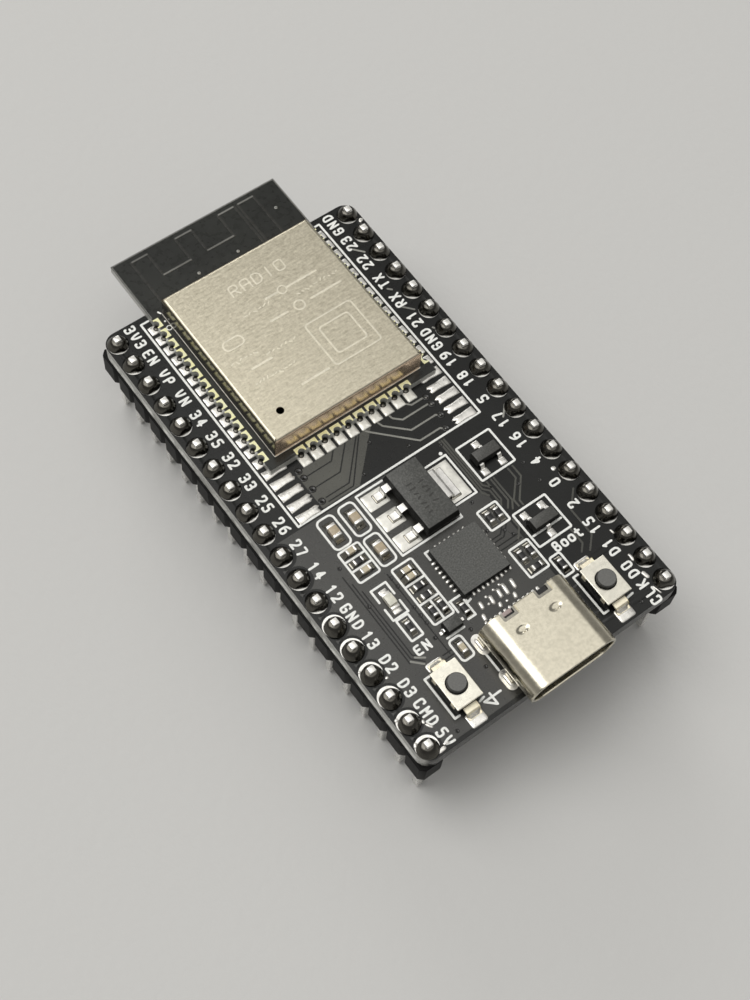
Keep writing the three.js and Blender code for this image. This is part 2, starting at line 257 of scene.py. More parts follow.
def mask_look(name, tone, side_color, gloss=0.4, end_shade_color=None):
    """Semi-gloss black solder mask; the cut edges of the laminate are paler and dull.

    The long edges show the laminate's fibre and turn paler in broken patches towards the foot
    of the main board. The short edges take end_shade_color, a darker colour painted on as shade.
    """
    look = Look(name, tone, roughness=0.4)
    up = look.facing("Z", 0.93, 0.99)
    mask = look.blend(look.patches(160, 4), tone, shade(tone, 1.6))
    fibre = look.patches(2500, 3, stretch=(1, 1, 6))
    fibre_edge = look.blend(fibre, side_color, shade(side_color, 0.7))
    foot = look.between("Z", BOARD_LOW.z + 1.0 * MM, BOARD_LOW.z + 0.55 * MM)
    broken = look.combine("MULTIPLY", foot, look.spread(look.noise(500, 3), 0.42, 0.56, 0.1, 1))
    pale_foot_edge = look.blend(broken, fibre_edge, (0.9, 0.9, 0.86))
    # Painted shade: edges that face along y take end_shade_color, which on the main board is far darker
    # than the long edges.
    edge = look.blend(look.facing("X"), end_shade_color or side_color, pale_foot_edge)
    look.paint(up, edge, mask)
    look.put("Specular IOR Level", gloss)
    satin = look.spread(look.noise(1800, 3), 0.3, 0.7, 0.24, 0.36)
    rough = look.combine("ADD", look.combine("MULTIPLY", up, -0.3), 0.72)
    look.put("Roughness", look.combine("MINIMUM", rough, satin))
    look.bump(look.noise(2200, 3), 0.10, 0.04)
    look.bump(look.noise(9000, 2), 0.12, 0.01)
    return look.material


def ink_look():
    look = Look("silk_ink", (0.90, 0.92, 0.88))
    look.paint(look.patches(3500, 4, 0.35, 0.6), (0.86, 0.87, 0.84), (0.97, 0.98, 0.95))
    look.bump(look.noise(6000, 3), 0.3, 0.02)
    return look.material


def solder_look(name, tone, roughness, wave, metallic=1.0):
    """Patchy metal with soft waves, `wave` millimetres deep."""
    look = Look(name, tone, metallic, roughness)
    look.paint(look.patches(1500, 3), shade(tone, 0.8), tone)
    look.put("Roughness", look.spread(look.noise(2600, 3), 0.3, 0.7, roughness * 0.7, roughness * 1.35))
    look.bump(look.noise(1100, 3), 0.55, wave)
    look.bump(look.noise(5000, 2), 0.25, 0.01)
    return look.material


def gold_look():
    look = Look("gold_pad", (1.0, 0.98, 0.64), metallic=0.2, roughness=0.3)
    look.paint(look.patches(2400, 2), (1.0, 0.96, 0.52), (1.0, 1.0, 0.68))
    look.bump(look.noise(5200, 3), 0.25, 0.01)
    return look.material


def can_look():
    """Drawn sheet with a fine scratched grain on top and smooth walls; the side walls are painted dark as
    shade and the front and rear walls painted orange as a reflection of the pads.
    """
    look = Look("can_metal", (0.68, 0.63, 0.50), metallic=1.0, roughness=0.36)
    up = look.facing("Z")
    lengthwise = look.facing("Y")
    grain = look.combine("MULTIPLY", look.noise(1500, 6, 0.7, stretch=(1.0, 3.5, 1.0)), 0.6)
    mottle = look.combine("MULTIPLY", look.noise(2600, 5, 0.7, stretch=(1.6, 1.0, 1.0)), 0.4)
    surface = look.combine("ADD", grain, mottle)
    top = look.blend(look.spread(surface, 0.36, 0.64), (0.47, 0.43, 0.33), (0.70, 0.655, 0.525))
    # Painted shade on the walls that face along x, and a painted orange reflection of the pads on the walls
    # that face along y.
    wall_shade_and_reflection = look.blend(lengthwise, (0.075, 0.065, 0.042), (1.0, 0.78, 0.58))
    look.paint(up, wall_shade_and_reflection, top)
    # Less metal on the front and rear walls lets the painted orange reflection show as diffuse colour.
    look.put("Metallic", look.spread(lengthwise, 0, 1, 1.0, 0.8))
    smooth = look.spread(lengthwise, 0, 1, 0.18, 0.27)
    satin = look.spread(surface, 0.36, 0.64, 0.28, 0.40)
    look.put("Roughness", look.blend(up, smooth, satin, "FLOAT"))
    look.bump(look.combine("MULTIPLY", up, surface), 0.5, 0.04)
    return look.material


def satin_metal_look(name, tone, roughness, grain_scale=2600, relief=0.22):
    look = Look(name, tone, 1.0, roughness)
    mottle = look.noise(grain_scale, 4, 0.6)
    look.paint(look.spread(mottle, 0.38, 0.62), shade(tone, 0.9), shade(tone, 1.04))
    cloud = look.noise(700, 4)
    look.put("Roughness", look.spread(cloud, 0.35, 0.65, roughness * 0.75, roughness * 1.35))
    look.bump(mottle, relief, 0.01)
    return look.material


def moulding_look(name, tone, roughness, speckle=0.5, gloss=0.5, side_shade=0.25):
    """Matte moulding compound with a fine pale speckle; its sides are painted darker than its top and given
    less sheen, as painted shade.
    """
    look = Look(name, tone, roughness=roughness)
    up = look.facing("Z", 0.6, 0.95)
    # Painted shade: the sides take side_shade of the top's sheen and colour.
    look.put("Specular IOR Level", look.spread(up, 0, 1, gloss * side_shade, gloss))
    fine = look.spread(look.noise(7000, 4, 0.7), 0.42, 0.75)
    top = look.blend(fine, tone, shade(tone, 1 + speckle * 2))
    look.paint(up, shade(tone, side_shade), top)
    look.bump(look.noise(9000, 4, 0.7), 0.35, 0.01)
    return look.material


def ceramic_look(name, tone, roughness=0.3):
    look = Look(name, tone, roughness=roughness)
    look.paint(look.patches(2600, 4), shade(tone, 0.8), tone)
    look.bump(look.noise(6000, 3), 0.3, 0.01)
    return look.material


LAMINATE_EDGE = (0.44, 0.44, 0.41)
# The last colour is painted shade on the main board's front and rear edges.
MASK = mask_look("solder_mask", (0.006, 0.0065, 0.006), LAMINATE_EDGE, 0.34, (0.03, 0.03, 0.028))
POUR = mask_look("mask_on_copper", (0.050, 0.050, 0.041), LAMINATE_EDGE, 0.6)
DIM_POUR = mask_look("mask_on_front_copper", (0.020, 0.020, 0.017), LAMINATE_EDGE, 0.68)
GLOSSY_MASK = ceramic_look("glossy_mask", (0.012, 0.012, 0.011), 0.18)
RADIO_MASK = mask_look("radio_mask", (0.011, 0.012, 0.010), (0.50, 0.50, 0.47))
INK = ink_look()
BRIGHT_SOLDER = solder_look("bright_solder", (0.90, 0.885, 0.84), 0.3, 0.06, 0.7)
PALE_SOLDER = solder_look("pale_solder", (0.86, 0.85, 0.79), 0.42, 0.06, 0.6)
# A darker copy of the solder as painted shade: on the regulator and chip fillets and on the rims under the
# socket's notches.
SHADE_DIMMED_SOLDER = solder_look("solder_dimmed_by_painted_shade", (0.34, 0.325, 0.28), 0.2, 0.08)
# Solder painted nearly black: painted shade and dark reflections on the pin joints and in the module's edge
# holes.
SHADED_SOLDER = solder_look("joint_solder_in_painted_shade", (0.105, 0.10, 0.088), 0.2, 0.08)
# A pale grey painted on as the highlight along the module's edges.
RIM_HIGHLIGHT = ceramic_look("painted_rim_highlight", (0.28, 0.28, 0.26), 0.5)
PIN_TIP = solder_look("pin_tip", (0.98, 0.97, 0.93), 0.35, 0.02, 0.6)
# Mask over traces painted pale: a painted highlight where the traces' slopes catch the light.
TRACE_HIGHLIGHT = mask_look("mask_on_trace_painted_highlight", (0.22, 0.22, 0.20), LAMINATE_EDGE)
# Painted highlight: the aerial's crossbars and vias are painted far lighter than its risers.
AERIAL_HIGHLIGHT = mask_look("painted_aerial_highlight", (0.13, 0.13, 0.12), LAMINATE_EDGE)
AERIAL = mask_look("mask_on_aerial", (0.022, 0.022, 0.019), LAMINATE_EDGE)
GOLD = gold_look()
CAN_METAL = can_look()
ETCHED = satin_metal_look("etched_metal", (0.76, 0.72, 0.60), 0.45)
SHELL_METAL = satin_metal_look("shell_metal", (0.66, 0.62, 0.505), 0.2, 3200, 0.25)
COVER_METAL = satin_metal_look("cover_metal", (0.80, 0.775, 0.68), 0.3)
TERMINAL_METAL = satin_metal_look("terminal_metal", (1.0, 0.93, 0.74), 0.42)
LEAD_METAL = satin_metal_look("lead_metal", (0.84, 0.83, 0.80), 0.25)
PIN_METAL = satin_metal_look("pin_metal", (0.92, 0.91, 0.88), 0.25)
PACKAGE = moulding_look("package_plastic", (0.062, 0.063, 0.059), 0.55, 0.75)
PACKAGE_MARK = moulding_look("package_mark", (0.040, 0.040, 0.037), 0.75, 0.2)
SMALL_PACKAGE = moulding_look("small_package_plastic", (0.060, 0.060, 0.056), 0.5, 0.6, 0.5)
SWITCH_PLASTIC = moulding_look("switch_plastic", (0.008, 0.008, 0.008), 0.5, 0.3)
HEADER_PLASTIC = moulding_look("header_plastic", (0.004, 0.004, 0.004), 0.5, 0.3, 0.12, 0.8)
SOCKET_CORE = moulding_look("socket_core", (0.36, 0.29, 0.275), 0.4, 0.2, 0.5, 1.0)
PLUNGER_PLASTIC = moulding_look("plunger_plastic", (0.125, 0.125, 0.118), 0.5, 0.2)
TAN_CERAMIC = ceramic_look("tan_ceramic", (0.50, 0.415, 0.29))
CREAM_CERAMIC = ceramic_look("cream_ceramic", (0.62, 0.55, 0.40))
RESISTOR_BLACK = ceramic_look("resistor_black", (0.015, 0.015, 0.016), 0.35)
LAMP_BODY = ceramic_look("lamp_body", (0.80, 0.77, 0.66), 0.4)
LAMP_LENS = ceramic_look("lamp_lens", (0.80, 0.79, 0.68), 0.15)


# ---- shapes in board millimetres

def rounded_outline(x0, x1, y0, y1, radius, steps=4):
    corners = [(x1 - radius, y0 + radius, -90), (x1 - radius, y1 - radius, 0),
               (x0 + radius, y1 - radius, 90), (x0 + radius, y0 + radius, 180)]
    points = []
    for cx, cy, start in corners:
        for i in range(steps + 1):
            angle = math.radians(start + 90 * i / steps)
            points.append((cx + radius * math.cos(angle), cy + radius * math.sin(angle)))
    return points


def place_at(x, y, z=0.0, turn=0.0):
    """A turn about z and then a move to (x, y, z)."""
    return Matrix.Translation((x, y, z)) @ Matrix.Rotation(turn, 4, "Z")


def middle(low, high):
    return (low.x + high.x) / 2, (low.y + high.y) / 2


def pad_outline(x, y, half_width, half_length, radius, steps=4):
    """A rounded rectangle about its middle."""
    return rounded_outline(x - half_width, x + half_width, y - half_length, y + half_length, radius, steps)


def circle_outline(x, y, radius, steps=24):
    angles = [2 * math.pi * i / steps for i in range(steps)]
    return [(x + radius * math.cos(a), y + radius * math.sin(a)) for a in angles]


def capsule_outline(start, end, width, steps=6):
    """A line with round ends, as one counter-clockwise outline."""
    (ax, ay), (bx, by) = start, end
    heading = math.atan2(by - ay, bx - ax)
    points = []
    for cx, cy, turn in ((bx, by, -math.pi / 2), (ax, ay, math.pi / 2)):
        for i in range(steps + 1):
            angle = heading + turn + math.pi * i / steps
            points.append((cx + width / 2 * math.cos(angle), cy + width / 2 * math.sin(angle)))
    return points


def round_corners(points, radius, closed=False, steps=4):
    """The same polyline with arcs in place of its corners, except the very sharp ones."""
    count = len(points)
    result = []
    for i, point in enumerate(points):
        if not closed and i in (0, count - 1):
            result.append(point)
            continue
        here = Vector(point)
        before = Vector(points[i - 1]) - here
        after = Vector(points[(i + 1) % count]) - here
        if before.angle(after) < math.radians(50):
            result.append(point)
            continue
        reach = min(radius, before.length / 2, after.length / 2)
        start = here + before.normalized() * reach
        end = here + after.normalized() * reach
        for k in range(steps + 1):
            t = k / steps
            bend = start * (1 - t) ** 2 + here * 2 * t * (1 - t) + end * t ** 2
            result.append((bend.x, bend.y))
    return result


def stroke_outlines(points, width, closed=False):
    ends = points[1:] + points[:1] if closed else points[1:]
    return [capsule_outline(a, b, width) for a, b in zip(points, ends) if a != b]


def strokes(paths, width, closed=False):
    return [outline for path in paths for outline in stroke_outlines(path, width, closed)]


def contains(outline, x, y):
    inside = False
    for (ax, ay), (bx, by) in zip(outline, outline[1:] + outline[:1]):
        if (ay > y) != (by > y) and x < ax + (y - ay) * (bx - ax) / (by - ay):
            inside = not inside
    return inside


def flat_union(solids, holes=()):
    """Triangles that cover every outline in `solids` and none in `holes`."""
    outlines = [*solids, *holes]
    points = []
    faces = []
    for outline in outlines:
        faces.append(list(range(len(points), len(points) + len(outline))))
        points += [Vector(p) for p in outline]
    verts, _, triangles, _, _, sources = delaunay_2d_cdt(points, [], faces, 1, 1e-5)
    kept = []
    for triangle, source in zip(triangles, sources):
        x = sum(verts[i].x for i in triangle) / 3
        y = sum(verts[i].y for i in triangle) / 3
        covering = [i for i in source if contains(outlines[i], x, y)]
        if covering and max(covering) < len(solids):
            kept.append(triangle)
    return verts, kept


class Shape:
    """Collects closed solids in board millimetres and turns them into one piece."""

    def __init__(self):
        self.mesh = bmesh.new()

    def sheet(self, solids, z0, z1, holes=()):
        """Flat outlines joined into one layer from z0 to z1."""
        verts, triangles = flat_union(solids, holes)
        used = sorted({i for triangle in triangles for i in triangle})
        low = {i: self.mesh.verts.new((verts[i].x, verts[i].y, z0)) for i in used}
        high = {i: self.mesh.verts.new((verts[i].x, verts[i].y, z1)) for i in used}
        edges = {}
        for triangle in triangles:
            self.mesh.faces.new([high[i] for i in triangle])
            self.mesh.faces.new([low[i] for i in reversed(triangle)])
            for a, b in zip(triangle, triangle[1:] + triangle[:1]):
                edges[(a, b)] = True
        for a, b in edges:
            if (b, a) not in edges:
                self.mesh.faces.new([low[a], low[b], high[b], high[a]])

    def band(self, lower, upper):
        """Joins two rings of vertices."""
        for i in range(len(lower)):
            k = (i + 1) % len(lower)
            self.mesh.faces.new([lower[i], lower[k], upper[k], upper[i]])

    def loft(self, rings, move=None):
        """A closed skin over rings of equal length, with its first and last ring filled."""
        move = move or Matrix.Identity(4)
        rows = [[self.mesh.verts.new(move @ Vector(p)) for p in ring] for ring in rings]
        for row, following in zip(rows, rows[1:]):
            self.band(row, following)
        self.mesh.faces.new(list(reversed(rows[0])))
        self.mesh.faces.new(rows[-1])

    def dome(self, outline, z0, rise, levels=4):
        """A pad of solder: an outline that swells gently to its middle."""
        cx = sum(x for x, _ in outline) / len(outline)
        cy = sum(y for _, y in outline) / len(outline)
        rings = [[(x, y, 0) for x, y in outline]]
        for level in range(levels + 1):
            t = level / levels
            shrink = 1 - 0.75 * t * t
            height = z0 + rise * math.sin(t * math.pi / 2)
            rings.append([(cx + (x - cx) * shrink, cy + (y - cy) * shrink, height) for x, y in outline])
        self.loft(rings)

    def ramp(self, steps, place, way=1):
        """Solder that runs down along x, or back along it: steps of (reach, half width, top)."""
        rings = []
        for reach, half, top in steps:
            x = way * reach
            ring = [(x, -half, 0.01), (x, half, 0.01), (x, half * 0.9, top), (x, -half * 0.9, top)]
            rings.append(ring if way > 0 else ring[::-1])
        self.loft(rings, place)

    def turned(self, profile, x, y, steps=24):
        """A turned solid from (radius, z) points, from its lowest to its highest ring."""
        self.loft([[(*p, z) for p in circle_outline(x, y, radius, steps)] for radius, z in profile])

    def block(self, centre, size, z0, bevel=0.03, turn=0.0, segments=2):
        """A box with rounded edges standing on z0."""
        place = place_at(*centre, z0 + size[2] / 2, turn) @ Matrix.Diagonal((*size, 1))
        made = bmesh.ops.create_cube(self.mesh, size=1, matrix=place)["verts"]
        edges = dict.fromkeys(edge for vert in made for edge in vert.link_edges)
        bmesh.ops.bevel(self.mesh, geom=list(edges), offset=bevel, segments=segments,
                        profile=0.5, affect="EDGES")

    def tapered(self, centre, size, z0, draft, bevel=0.05):
        """A moulded package: widest at its middle, narrower at its foot and top."""
        width, length, height = size
        levels = [(0, draft), (height * 0.45, 0), (height * 0.5, 0), (height - bevel, draft * 0.9),
                  (height, draft + bevel)]
        rings = []
        for z, inset in levels:
            outline = pad_outline(0, 0, width / 2 - inset, length / 2 - inset, 0.06, 2)
            rings.append([(x, y, z) for x, y in outline])
        self.loft(rings, place_at(*centre, z0))

    def strip(self, path, thickness, width, centre, turn=0.0, bend=0.12):
        """A bent metal strip: `path` is its middle line in (reach, height) points."""
        smooth = round_corners(path, bend, steps=5)
        upper, lower = [], []
        for i, point in enumerate(smooth):
            before = Vector(smooth[max(i - 1, 0)])
            after = Vector(smooth[min(i + 1, len(smooth) - 1)])
            along = (after - before).normalized()
            side = Vector((-along.y, along.x)) * thickness / 2
            upper.append(Vector(point) + side)
            lower.append(Vector(point) - side)
        edge = min(0.03, thickness / 3)
        half = width / 2
        rings = []
        for a, b in zip(upper, lower):
            shoulder = a - (a - b).normalized() * edge
            rings.append([(a.x, half - edge, a.y), (shoulder.x, half, shoulder.y),
                          (shoulder.x, -half, shoulder.y), (a.x, -half + edge, a.y),
                          (b.x, -half + edge, b.y), (b.x, half - edge, b.y)])
        self.loft(rings, place_at(*centre, turn=turn))

    def piece(self, name, material, slot, smooth=40, replaces=()):
        """Makes the Blender object, in place on the board, and hides the CAD nodes that it replaces."""
        bmesh.ops.recalc_face_normals(self.mesh, faces=self.mesh.faces)
        bmesh.ops.transform(self.mesh, matrix=TO_FRAME, verts=self.mesh.verts)
        data = bpy.data.meshes.new(name)
        self.mesh.to_mesh(data)
        self.mesh.free()
        data.shade_smooth()
        data.set_sharp_from_angle(angle=math.radians(smooth))
        data.materials.append(material)
        thing = bpy.data.objects.new(name, data)
        bpy.context.scene.collection.objects.link(thing)
        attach(thing, "board")
        if replaces:
            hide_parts(*replaces)
        return thing

    def solder(self, name, material=BRIGHT_SOLDER, smooth=60):
        self.piece(name, material, "solder", smooth=smooth)


def add_layer(name, outlines, z0, z1, material, slot, smooth=30, holes=()):
    """A thin flat piece on its own."""
    shape = Shape()
    shape.sheet(outlines, z0, z1, holes)
    shape.piece(name, material, slot, smooth=smooth)


def dress(node, material, bevel=0.0, smooth=40):
    """Gives a CAD node its material and softly rounded edges; smooth=0 keeps flat facets."""
    thing = NODES[node]
    thing.data.materials.clear()
    thing.data.materials.append(material)
    if smooth:
        thing.data.shade_smooth()
        thing.data.set_sharp_from_angle(angle=math.radians(smooth))
    if bevel:
        weld = thing.modifiers.new("weld", "WELD")
        weld.merge_threshold = 1e-6
        rounding = thing.modifiers.new("bevel", "BEVEL")
        rounding.width = bevel * MM
        rounding.segments = 2
        rounding.limit_method = "ANGLE"
        rounding.angle_limit = math.radians(35)
    if bevel and smooth:
        flat = thing.modifiers.new("flat faces", "WEIGHTED_NORMAL")
        flat.keep_sharp = True
        flat.weight = 100


# ---- printed ink

def stroke(*numbers, closed=False):
    return [(list(zip(numbers[::2], numbers[1::2])), closed)]


def loop(*numbers):
    return stroke(*numbers, closed=True)


# Letters as pen strokes, x and y in turn, on a grid 4 wide and 6 high.
GLYPHS = {
    "0": loop(0, 0, 4, 0, 4, 6, 0, 6),
    "1": stroke(0.8, 4.8, 2.2, 6, 2.2, 0),
    "2": stroke(0, 4.6, 0, 6, 4, 6, 4, 3.4, 0, 0, 4, 0),
    "3": stroke(0, 5.2, 0, 6, 4, 6, 4, 3.1, 1.2, 3.1) + stroke(2.4, 3.1, 4, 3.1, 4, 0, 0, 0, 0, 0.8),
    "4": stroke(3, 0, 3, 6, 0, 1.8, 4.2, 1.8),
    "5": stroke(4, 6, 0.4, 6, 0.2, 3.5, 4, 3.5, 4, 0, 0, 0, 0, 0.7),
    "6": stroke(3.6, 6, 0, 4.6, 0, 0, 4, 0, 4, 3.3, 0, 3.3),
    "7": stroke(0, 6, 4, 6, 1.6, 0),
    "8": loop(0, 0, 4, 0, 4, 3.1, 0, 3.1) + loop(0.2, 3.1, 3.8, 3.1, 3.8, 6, 0.2, 6),
    "9": stroke(0.4, 0, 4, 1.4, 4, 6, 0, 6, 0, 2.7, 4, 2.7),
    "A": stroke(0, 0, 0, 6, 4, 6, 4, 0) + stroke(0, 2.8, 4, 2.8),
    "B": stroke(0, 3.2, 0, 6, 3.6, 6, 3.6, 3.2, 0, 3.2) + stroke(0, 3.2, 4, 3.2, 4, 0, 0, 0, 0, 3.2),
    "C": stroke(4, 4.8, 4, 6, 0, 6, 0, 0, 4, 0, 4, 1.2),
    "D": stroke(0, 0, 0, 6, 2.2, 6, 4, 4.8, 4, 1.2, 2.2, 0, 0, 0),
    "E": stroke(4, 6, 0, 6, 0, 0, 4, 0) + stroke(0, 3.1, 3.2, 3.1),
    "G": stroke(4, 4.8, 4, 6, 0, 6, 0, 0, 4, 0, 4, 2.8, 2.2, 2.8),
    "I": stroke(2, 0, 2, 6),
    "K": stroke(0, 0, 0, 6) + stroke(4, 6, 0, 2.6) + stroke(1.4, 3.6, 4, 0),
    "L": stroke(0, 6, 0, 0, 4, 0),
    "M": stroke(0, 0, 0, 6, 2, 2.6, 4, 6, 4, 0),
    "N": stroke(0, 0, 0, 6, 4, 0, 4, 6),
    "O": loop(0, 0, 4, 0, 4, 6, 0, 6),
    "P": stroke(0, 0, 0, 6, 4, 6, 4, 2.8, 0, 2.8),
    "R": stroke(0, 0, 0, 6, 4, 6, 4, 2.8, 0, 2.8) + stroke(1.8, 2.8, 4, 0),
    "T": stroke(0, 6, 4, 6) + stroke(2, 6, 2, 0),
    "V": stroke(0, 6, 0.3, 3, 2, 0, 3.7, 3, 4, 6),
    "X": stroke(0, 0, 4, 6) + stroke(0, 6, 4, 0),
    "o": loop(0, 0, 4, 0, 4, 4.2, 0, 4.2),
    "t": stroke(1.4, 5.6, 1.4, 0, 3.6, 0) + stroke(0, 4, 3.4, 4),
}


def text_outlines(text, x, y, height, turn, width=None, pen=0.2, gap=0.24):
    """Outlines for text centred at (x, y), in single-stroke letters with round pens."""
    width = width or height * 0.58
    tall = height - pen
    advance = width + gap * height
    place = place_at(x, y, turn=turn)
    start = -((len(text) - 1) * advance + width - pen) / 2
    outlines = []
    for index, letter in enumerate(text):
        left = start + index * advance
        for points, closed in GLYPHS[letter]:
            placed = []
            for px, py in round_corners(points, 1.5, closed):
                spot = place @ Vector((left + px / 4 * (width - pen), py / 6 * tall - tall / 2, 0))
                placed.append((spot.x, spot.y))
            outlines += stroke_outlines(placed, pen, closed)
    return outlines


LEFT_LABELS = "3V3 EN VP VN 34 35 32 33 25 26 27 14 12 GND 13 D2 D3 CMD 5V".split()
RIGHT_LABELS = "GND 23 22 TX RX 21 GND 19 18 5 17 16 4 0 2 15 D1 D0 CLK".split()
LABEL_HEIGHT = 1.1


def label_outlines():
    """Each pin name reads from its own side of the board, the switch names from the USB end."""
    outlines = []
    for i, (left, right) in enumerate(zip(LEFT_LABELS, RIGHT_LABELS)):
        y = pin_y(i) - 0.15
        outlines += text_outlines(left, -10.98, y, LABEL_HEIGHT, -math.pi / 2)
        outlines += text_outlines(right, 10.93, y, LABEL_HEIGHT, math.pi / 2)
    outlines += text_outlines("EN", -7.85, -15.87, 0.98, 0, width=0.66)
    outlines += text_outlines("Boot", 8.33, -15.18, 1.02, 0, width=0.66, pen=0.21, gap=0.14)
    return outlines


# Closed frames round the small parts: x0, x1, y0, y1, corner radius.
INK_FRAMES = [
    (-8.55, -6.88, -4.8, -1.6, 0.45), (-6.3, -4.72, -4.8, -1.6, 0.45), (-6.2, -4.66, -8.25, -5.2, 0.4),
    (-8.68, -6.55, -8.3, -5.05, 0.2), (-5.85, -3.75, -14.9, -8.85, 0.2),
    (-8.25, -7.05, -14.95, -12.75, 0.1), (-5.85, -4.62, -18.85, -16.72, 0.3),
    (5.78, 9.45, -6.6, -2.82, 0.1), (5.88, 9.45, -14.4, -10.7, 0.1), (3.45, 5.5, -10.85, -8.75, 0.15),
    (3.45, 5.5, -16.2, -13.15, 0.15), (5.85, 6.98, -17.8, -15.7, 0.2),
]

# Open printed lines, as points from end to end.
INK_LINES = [
    [(-9.1, 23.5), (-9.88, 23.5), (-9.88, -1.04), (9.88, -1.04), (9.88, 23.5), (9.1, 23.5)],
    [(-1.4, -1.55), (-4.2, -1.55), (-4.2, -8.3), (2.2, -8.3), (2.2, -7.95)],
    [(2.5, -2.72), (4.7, -2.72), (4.7, -7.15), (2.5, -7.15)],
    [(-8.4, -10.65), (-8.4, -9.4), (-6.85, -9.4), (-6.85, -10.65)],
    [(-8.4, -11.4), (-8.4, -12.6), (-6.85, -12.6), (-6.85, -11.4)],
    [(-8.6, -6.08), (-6.6, -6.08)], [(-8.6, -7.1), (-6.6, -7.1)],
    [(-5.8, -10.8), (-3.8, -10.8)], [(-5.8, -12.78), (-3.8, -12.78)], [(-4.78, -12.8), (-4.78, -14.85)],
    [(-3.55, -13.95), (-2.42, -13.95)], [(-2.42, -14.5), (-2.42, -16.08), (-3.2, -16.08)],
    [(-3.5, -14.0), (-3.5, -15.1)], [(-5.7, -16.42), (-3.9, -16.42)],
    [(-2.15, -9.2), (-2.52, -9.2), (-2.52, -9.95)],
    [(-8.95, -18.2), (-9.42, -18.2), (-9.42, -22.28), (-8.95, -22.28)], [(-6.85, -22.28), (-6.35, -22.18)],
    [(6.95, -18.25), (6.45, -18.25), (6.45, -22.28), (6.95, -22.28)], [(9.0, -22.32), (9.68, -22.25)],
    [(-3.92, -19.2), (-3.92, -21.1)], [(6.1, -13.28), (9.2, -13.28)],
    [(-5.78, -22.2), (-5.78, -23.3)], [(-6.6, -22.55), (-4.9, -22.55)], [(-6.55, -22.6), (-5.85, -23.25)],
    [(-2.5, -14.9), (-1.9, -14.75)],
]
INK_DOTS = [(4.42, -2.38, 0.17), (-5.55, -15.65, 0.17), (-2.28, -14.65, 0.1)]


def add_ink():
    outlines = label_outlines()
    outlines += strokes([rounded_outline(*ink_frame) for ink_frame in INK_FRAMES], INK_WIDTH, closed=True)
    outlines += strokes(INK_LINES, INK_WIDTH)
    outlines += [circle_outline(x, y, radius, 16) for x, y, radius in INK_DOTS]
    add_layer("printed_ink", outlines, 0, INK_LIFT, INK, "silk_ink")


# ---- traces under the mask

# Traces as points from end to end, and vias as x, y.
LEFT_TRACES = [
    [(-6.7, 3.35), (-5.1, 3.35), (-4.5, 3.6)], [(-6.4, 2.5), (-3.85, 2.5), (-3.0, 3.4)],
    [(-6.7, 1.2), (-3.85, 1.2), (-1.7, 3.4)], [(-6.3, -0.1), (-3.85, -0.1), (-0.6, 3.3)],
    [(-6.3, -0.55), (-3.7, -0.55), (-0.3, 3.3)],
]
BOOT_TRACES = [
    [(6.05, -6.9), (6.05, -8.9), (5.65, -9.4)], [(6.5, -6.9), (6.5, -9.3), (6.0, -9.9)],
    [(6.8, -6.9), (6.8, -9.5), (6.3, -10.2)], [(8.4, -6.9), (8.4, -8.0), (6.9, -9.6), (6.9, -10.3)],
    [(8.9, -6.9), (8.9, -8.1), (7.3, -9.9), (7.3, -10.4)], [(5.65, -11.0), (5.65, -11.9), (4.9, -12.7)],
    [(5.05, -1.4), (5.05, -7.5), (5.4, -8.0)], [(5.3, -1.4), (5.3, -7.2), (5.75, -7.7), (5.75, -9.0)],
    [(5.55, -1.4), (5.55, -6.9), (6.05, -7.5)],
    [(9.3, -17.1), (10.4, -16.0), (10.4, -13.2), (11.9, -11.7)], [(9.2, -14.6), (9.2, -16.2), (8.6, -16.8)],
]
RIGHT_TRACES = [
    [(0.35, 3.2), (0.6, 2.9), (3.75, -0.3), (5.95, -0.3), (6.3, -0.6)],
    [(1.75, 3.2), (1.9, 2.75), (3.75, 0.98), (6.45, 0.98), (6.75, 0.75)],
    [(3.0, 3.2), (3.1, 2.85), (3.75, 2.25), (6.5, 2.25), (6.8, 2.05)],
    [(4.4, 3.6), (4.8, 3.5), (5.3, 3.0), (6.6, 3.0), (6.8, 2.85)],
]
FINE_TRACES = [
    [(3.0, -11.5), (3.9, -11.5), (4.5, -10.95)], [(3.0, -11.85), (4.0, -11.85), (5.0, -10.95)],
    [(3.0, -12.3), (5.5, -12.3)], [(3.0, -12.75), (5.2, -12.75)],
    [(-8.95, -9.0), (-8.95, -15.9), (-8.3, -16.6)], [(-9.25, -8.0), (-9.25, -16.1), (-8.4, -16.95)],
    [(-9.55, -7.0), (-9.55, -16.4)], [(-6.3, -8.9), (-6.3, -17.6)], [(-6.9, -17.4), (-5.9, -17.4)],
    [(-6.9, -17.8), (-5.9, -17.8)],
]
DIAGONAL_TRACES = [
    [(11.6, 18.6), (10.6, 19.7)], [(11.6, 10.9), (10.7, 11.9)], [(11.2, 13.8), (10.9, 14.1)],
    [(12.2, -1.7), (11.3, -2.6)], [(12.1, 8.0), (11.8, 8.4)], [(-9.4, -16.3), (-8.6, -17.1)],
    [(-8.9, -16.2), (-8.2, -16.7)],
]
TENTED_VIAS = [
    (-6.8, 3.3), (-6.8, 2.5), (-6.8, 1.2), (-6.8, -0.2), (6.85, 2.9), (6.85, 2.05), (6.85, 0.7),
    (6.4, -0.65),
]
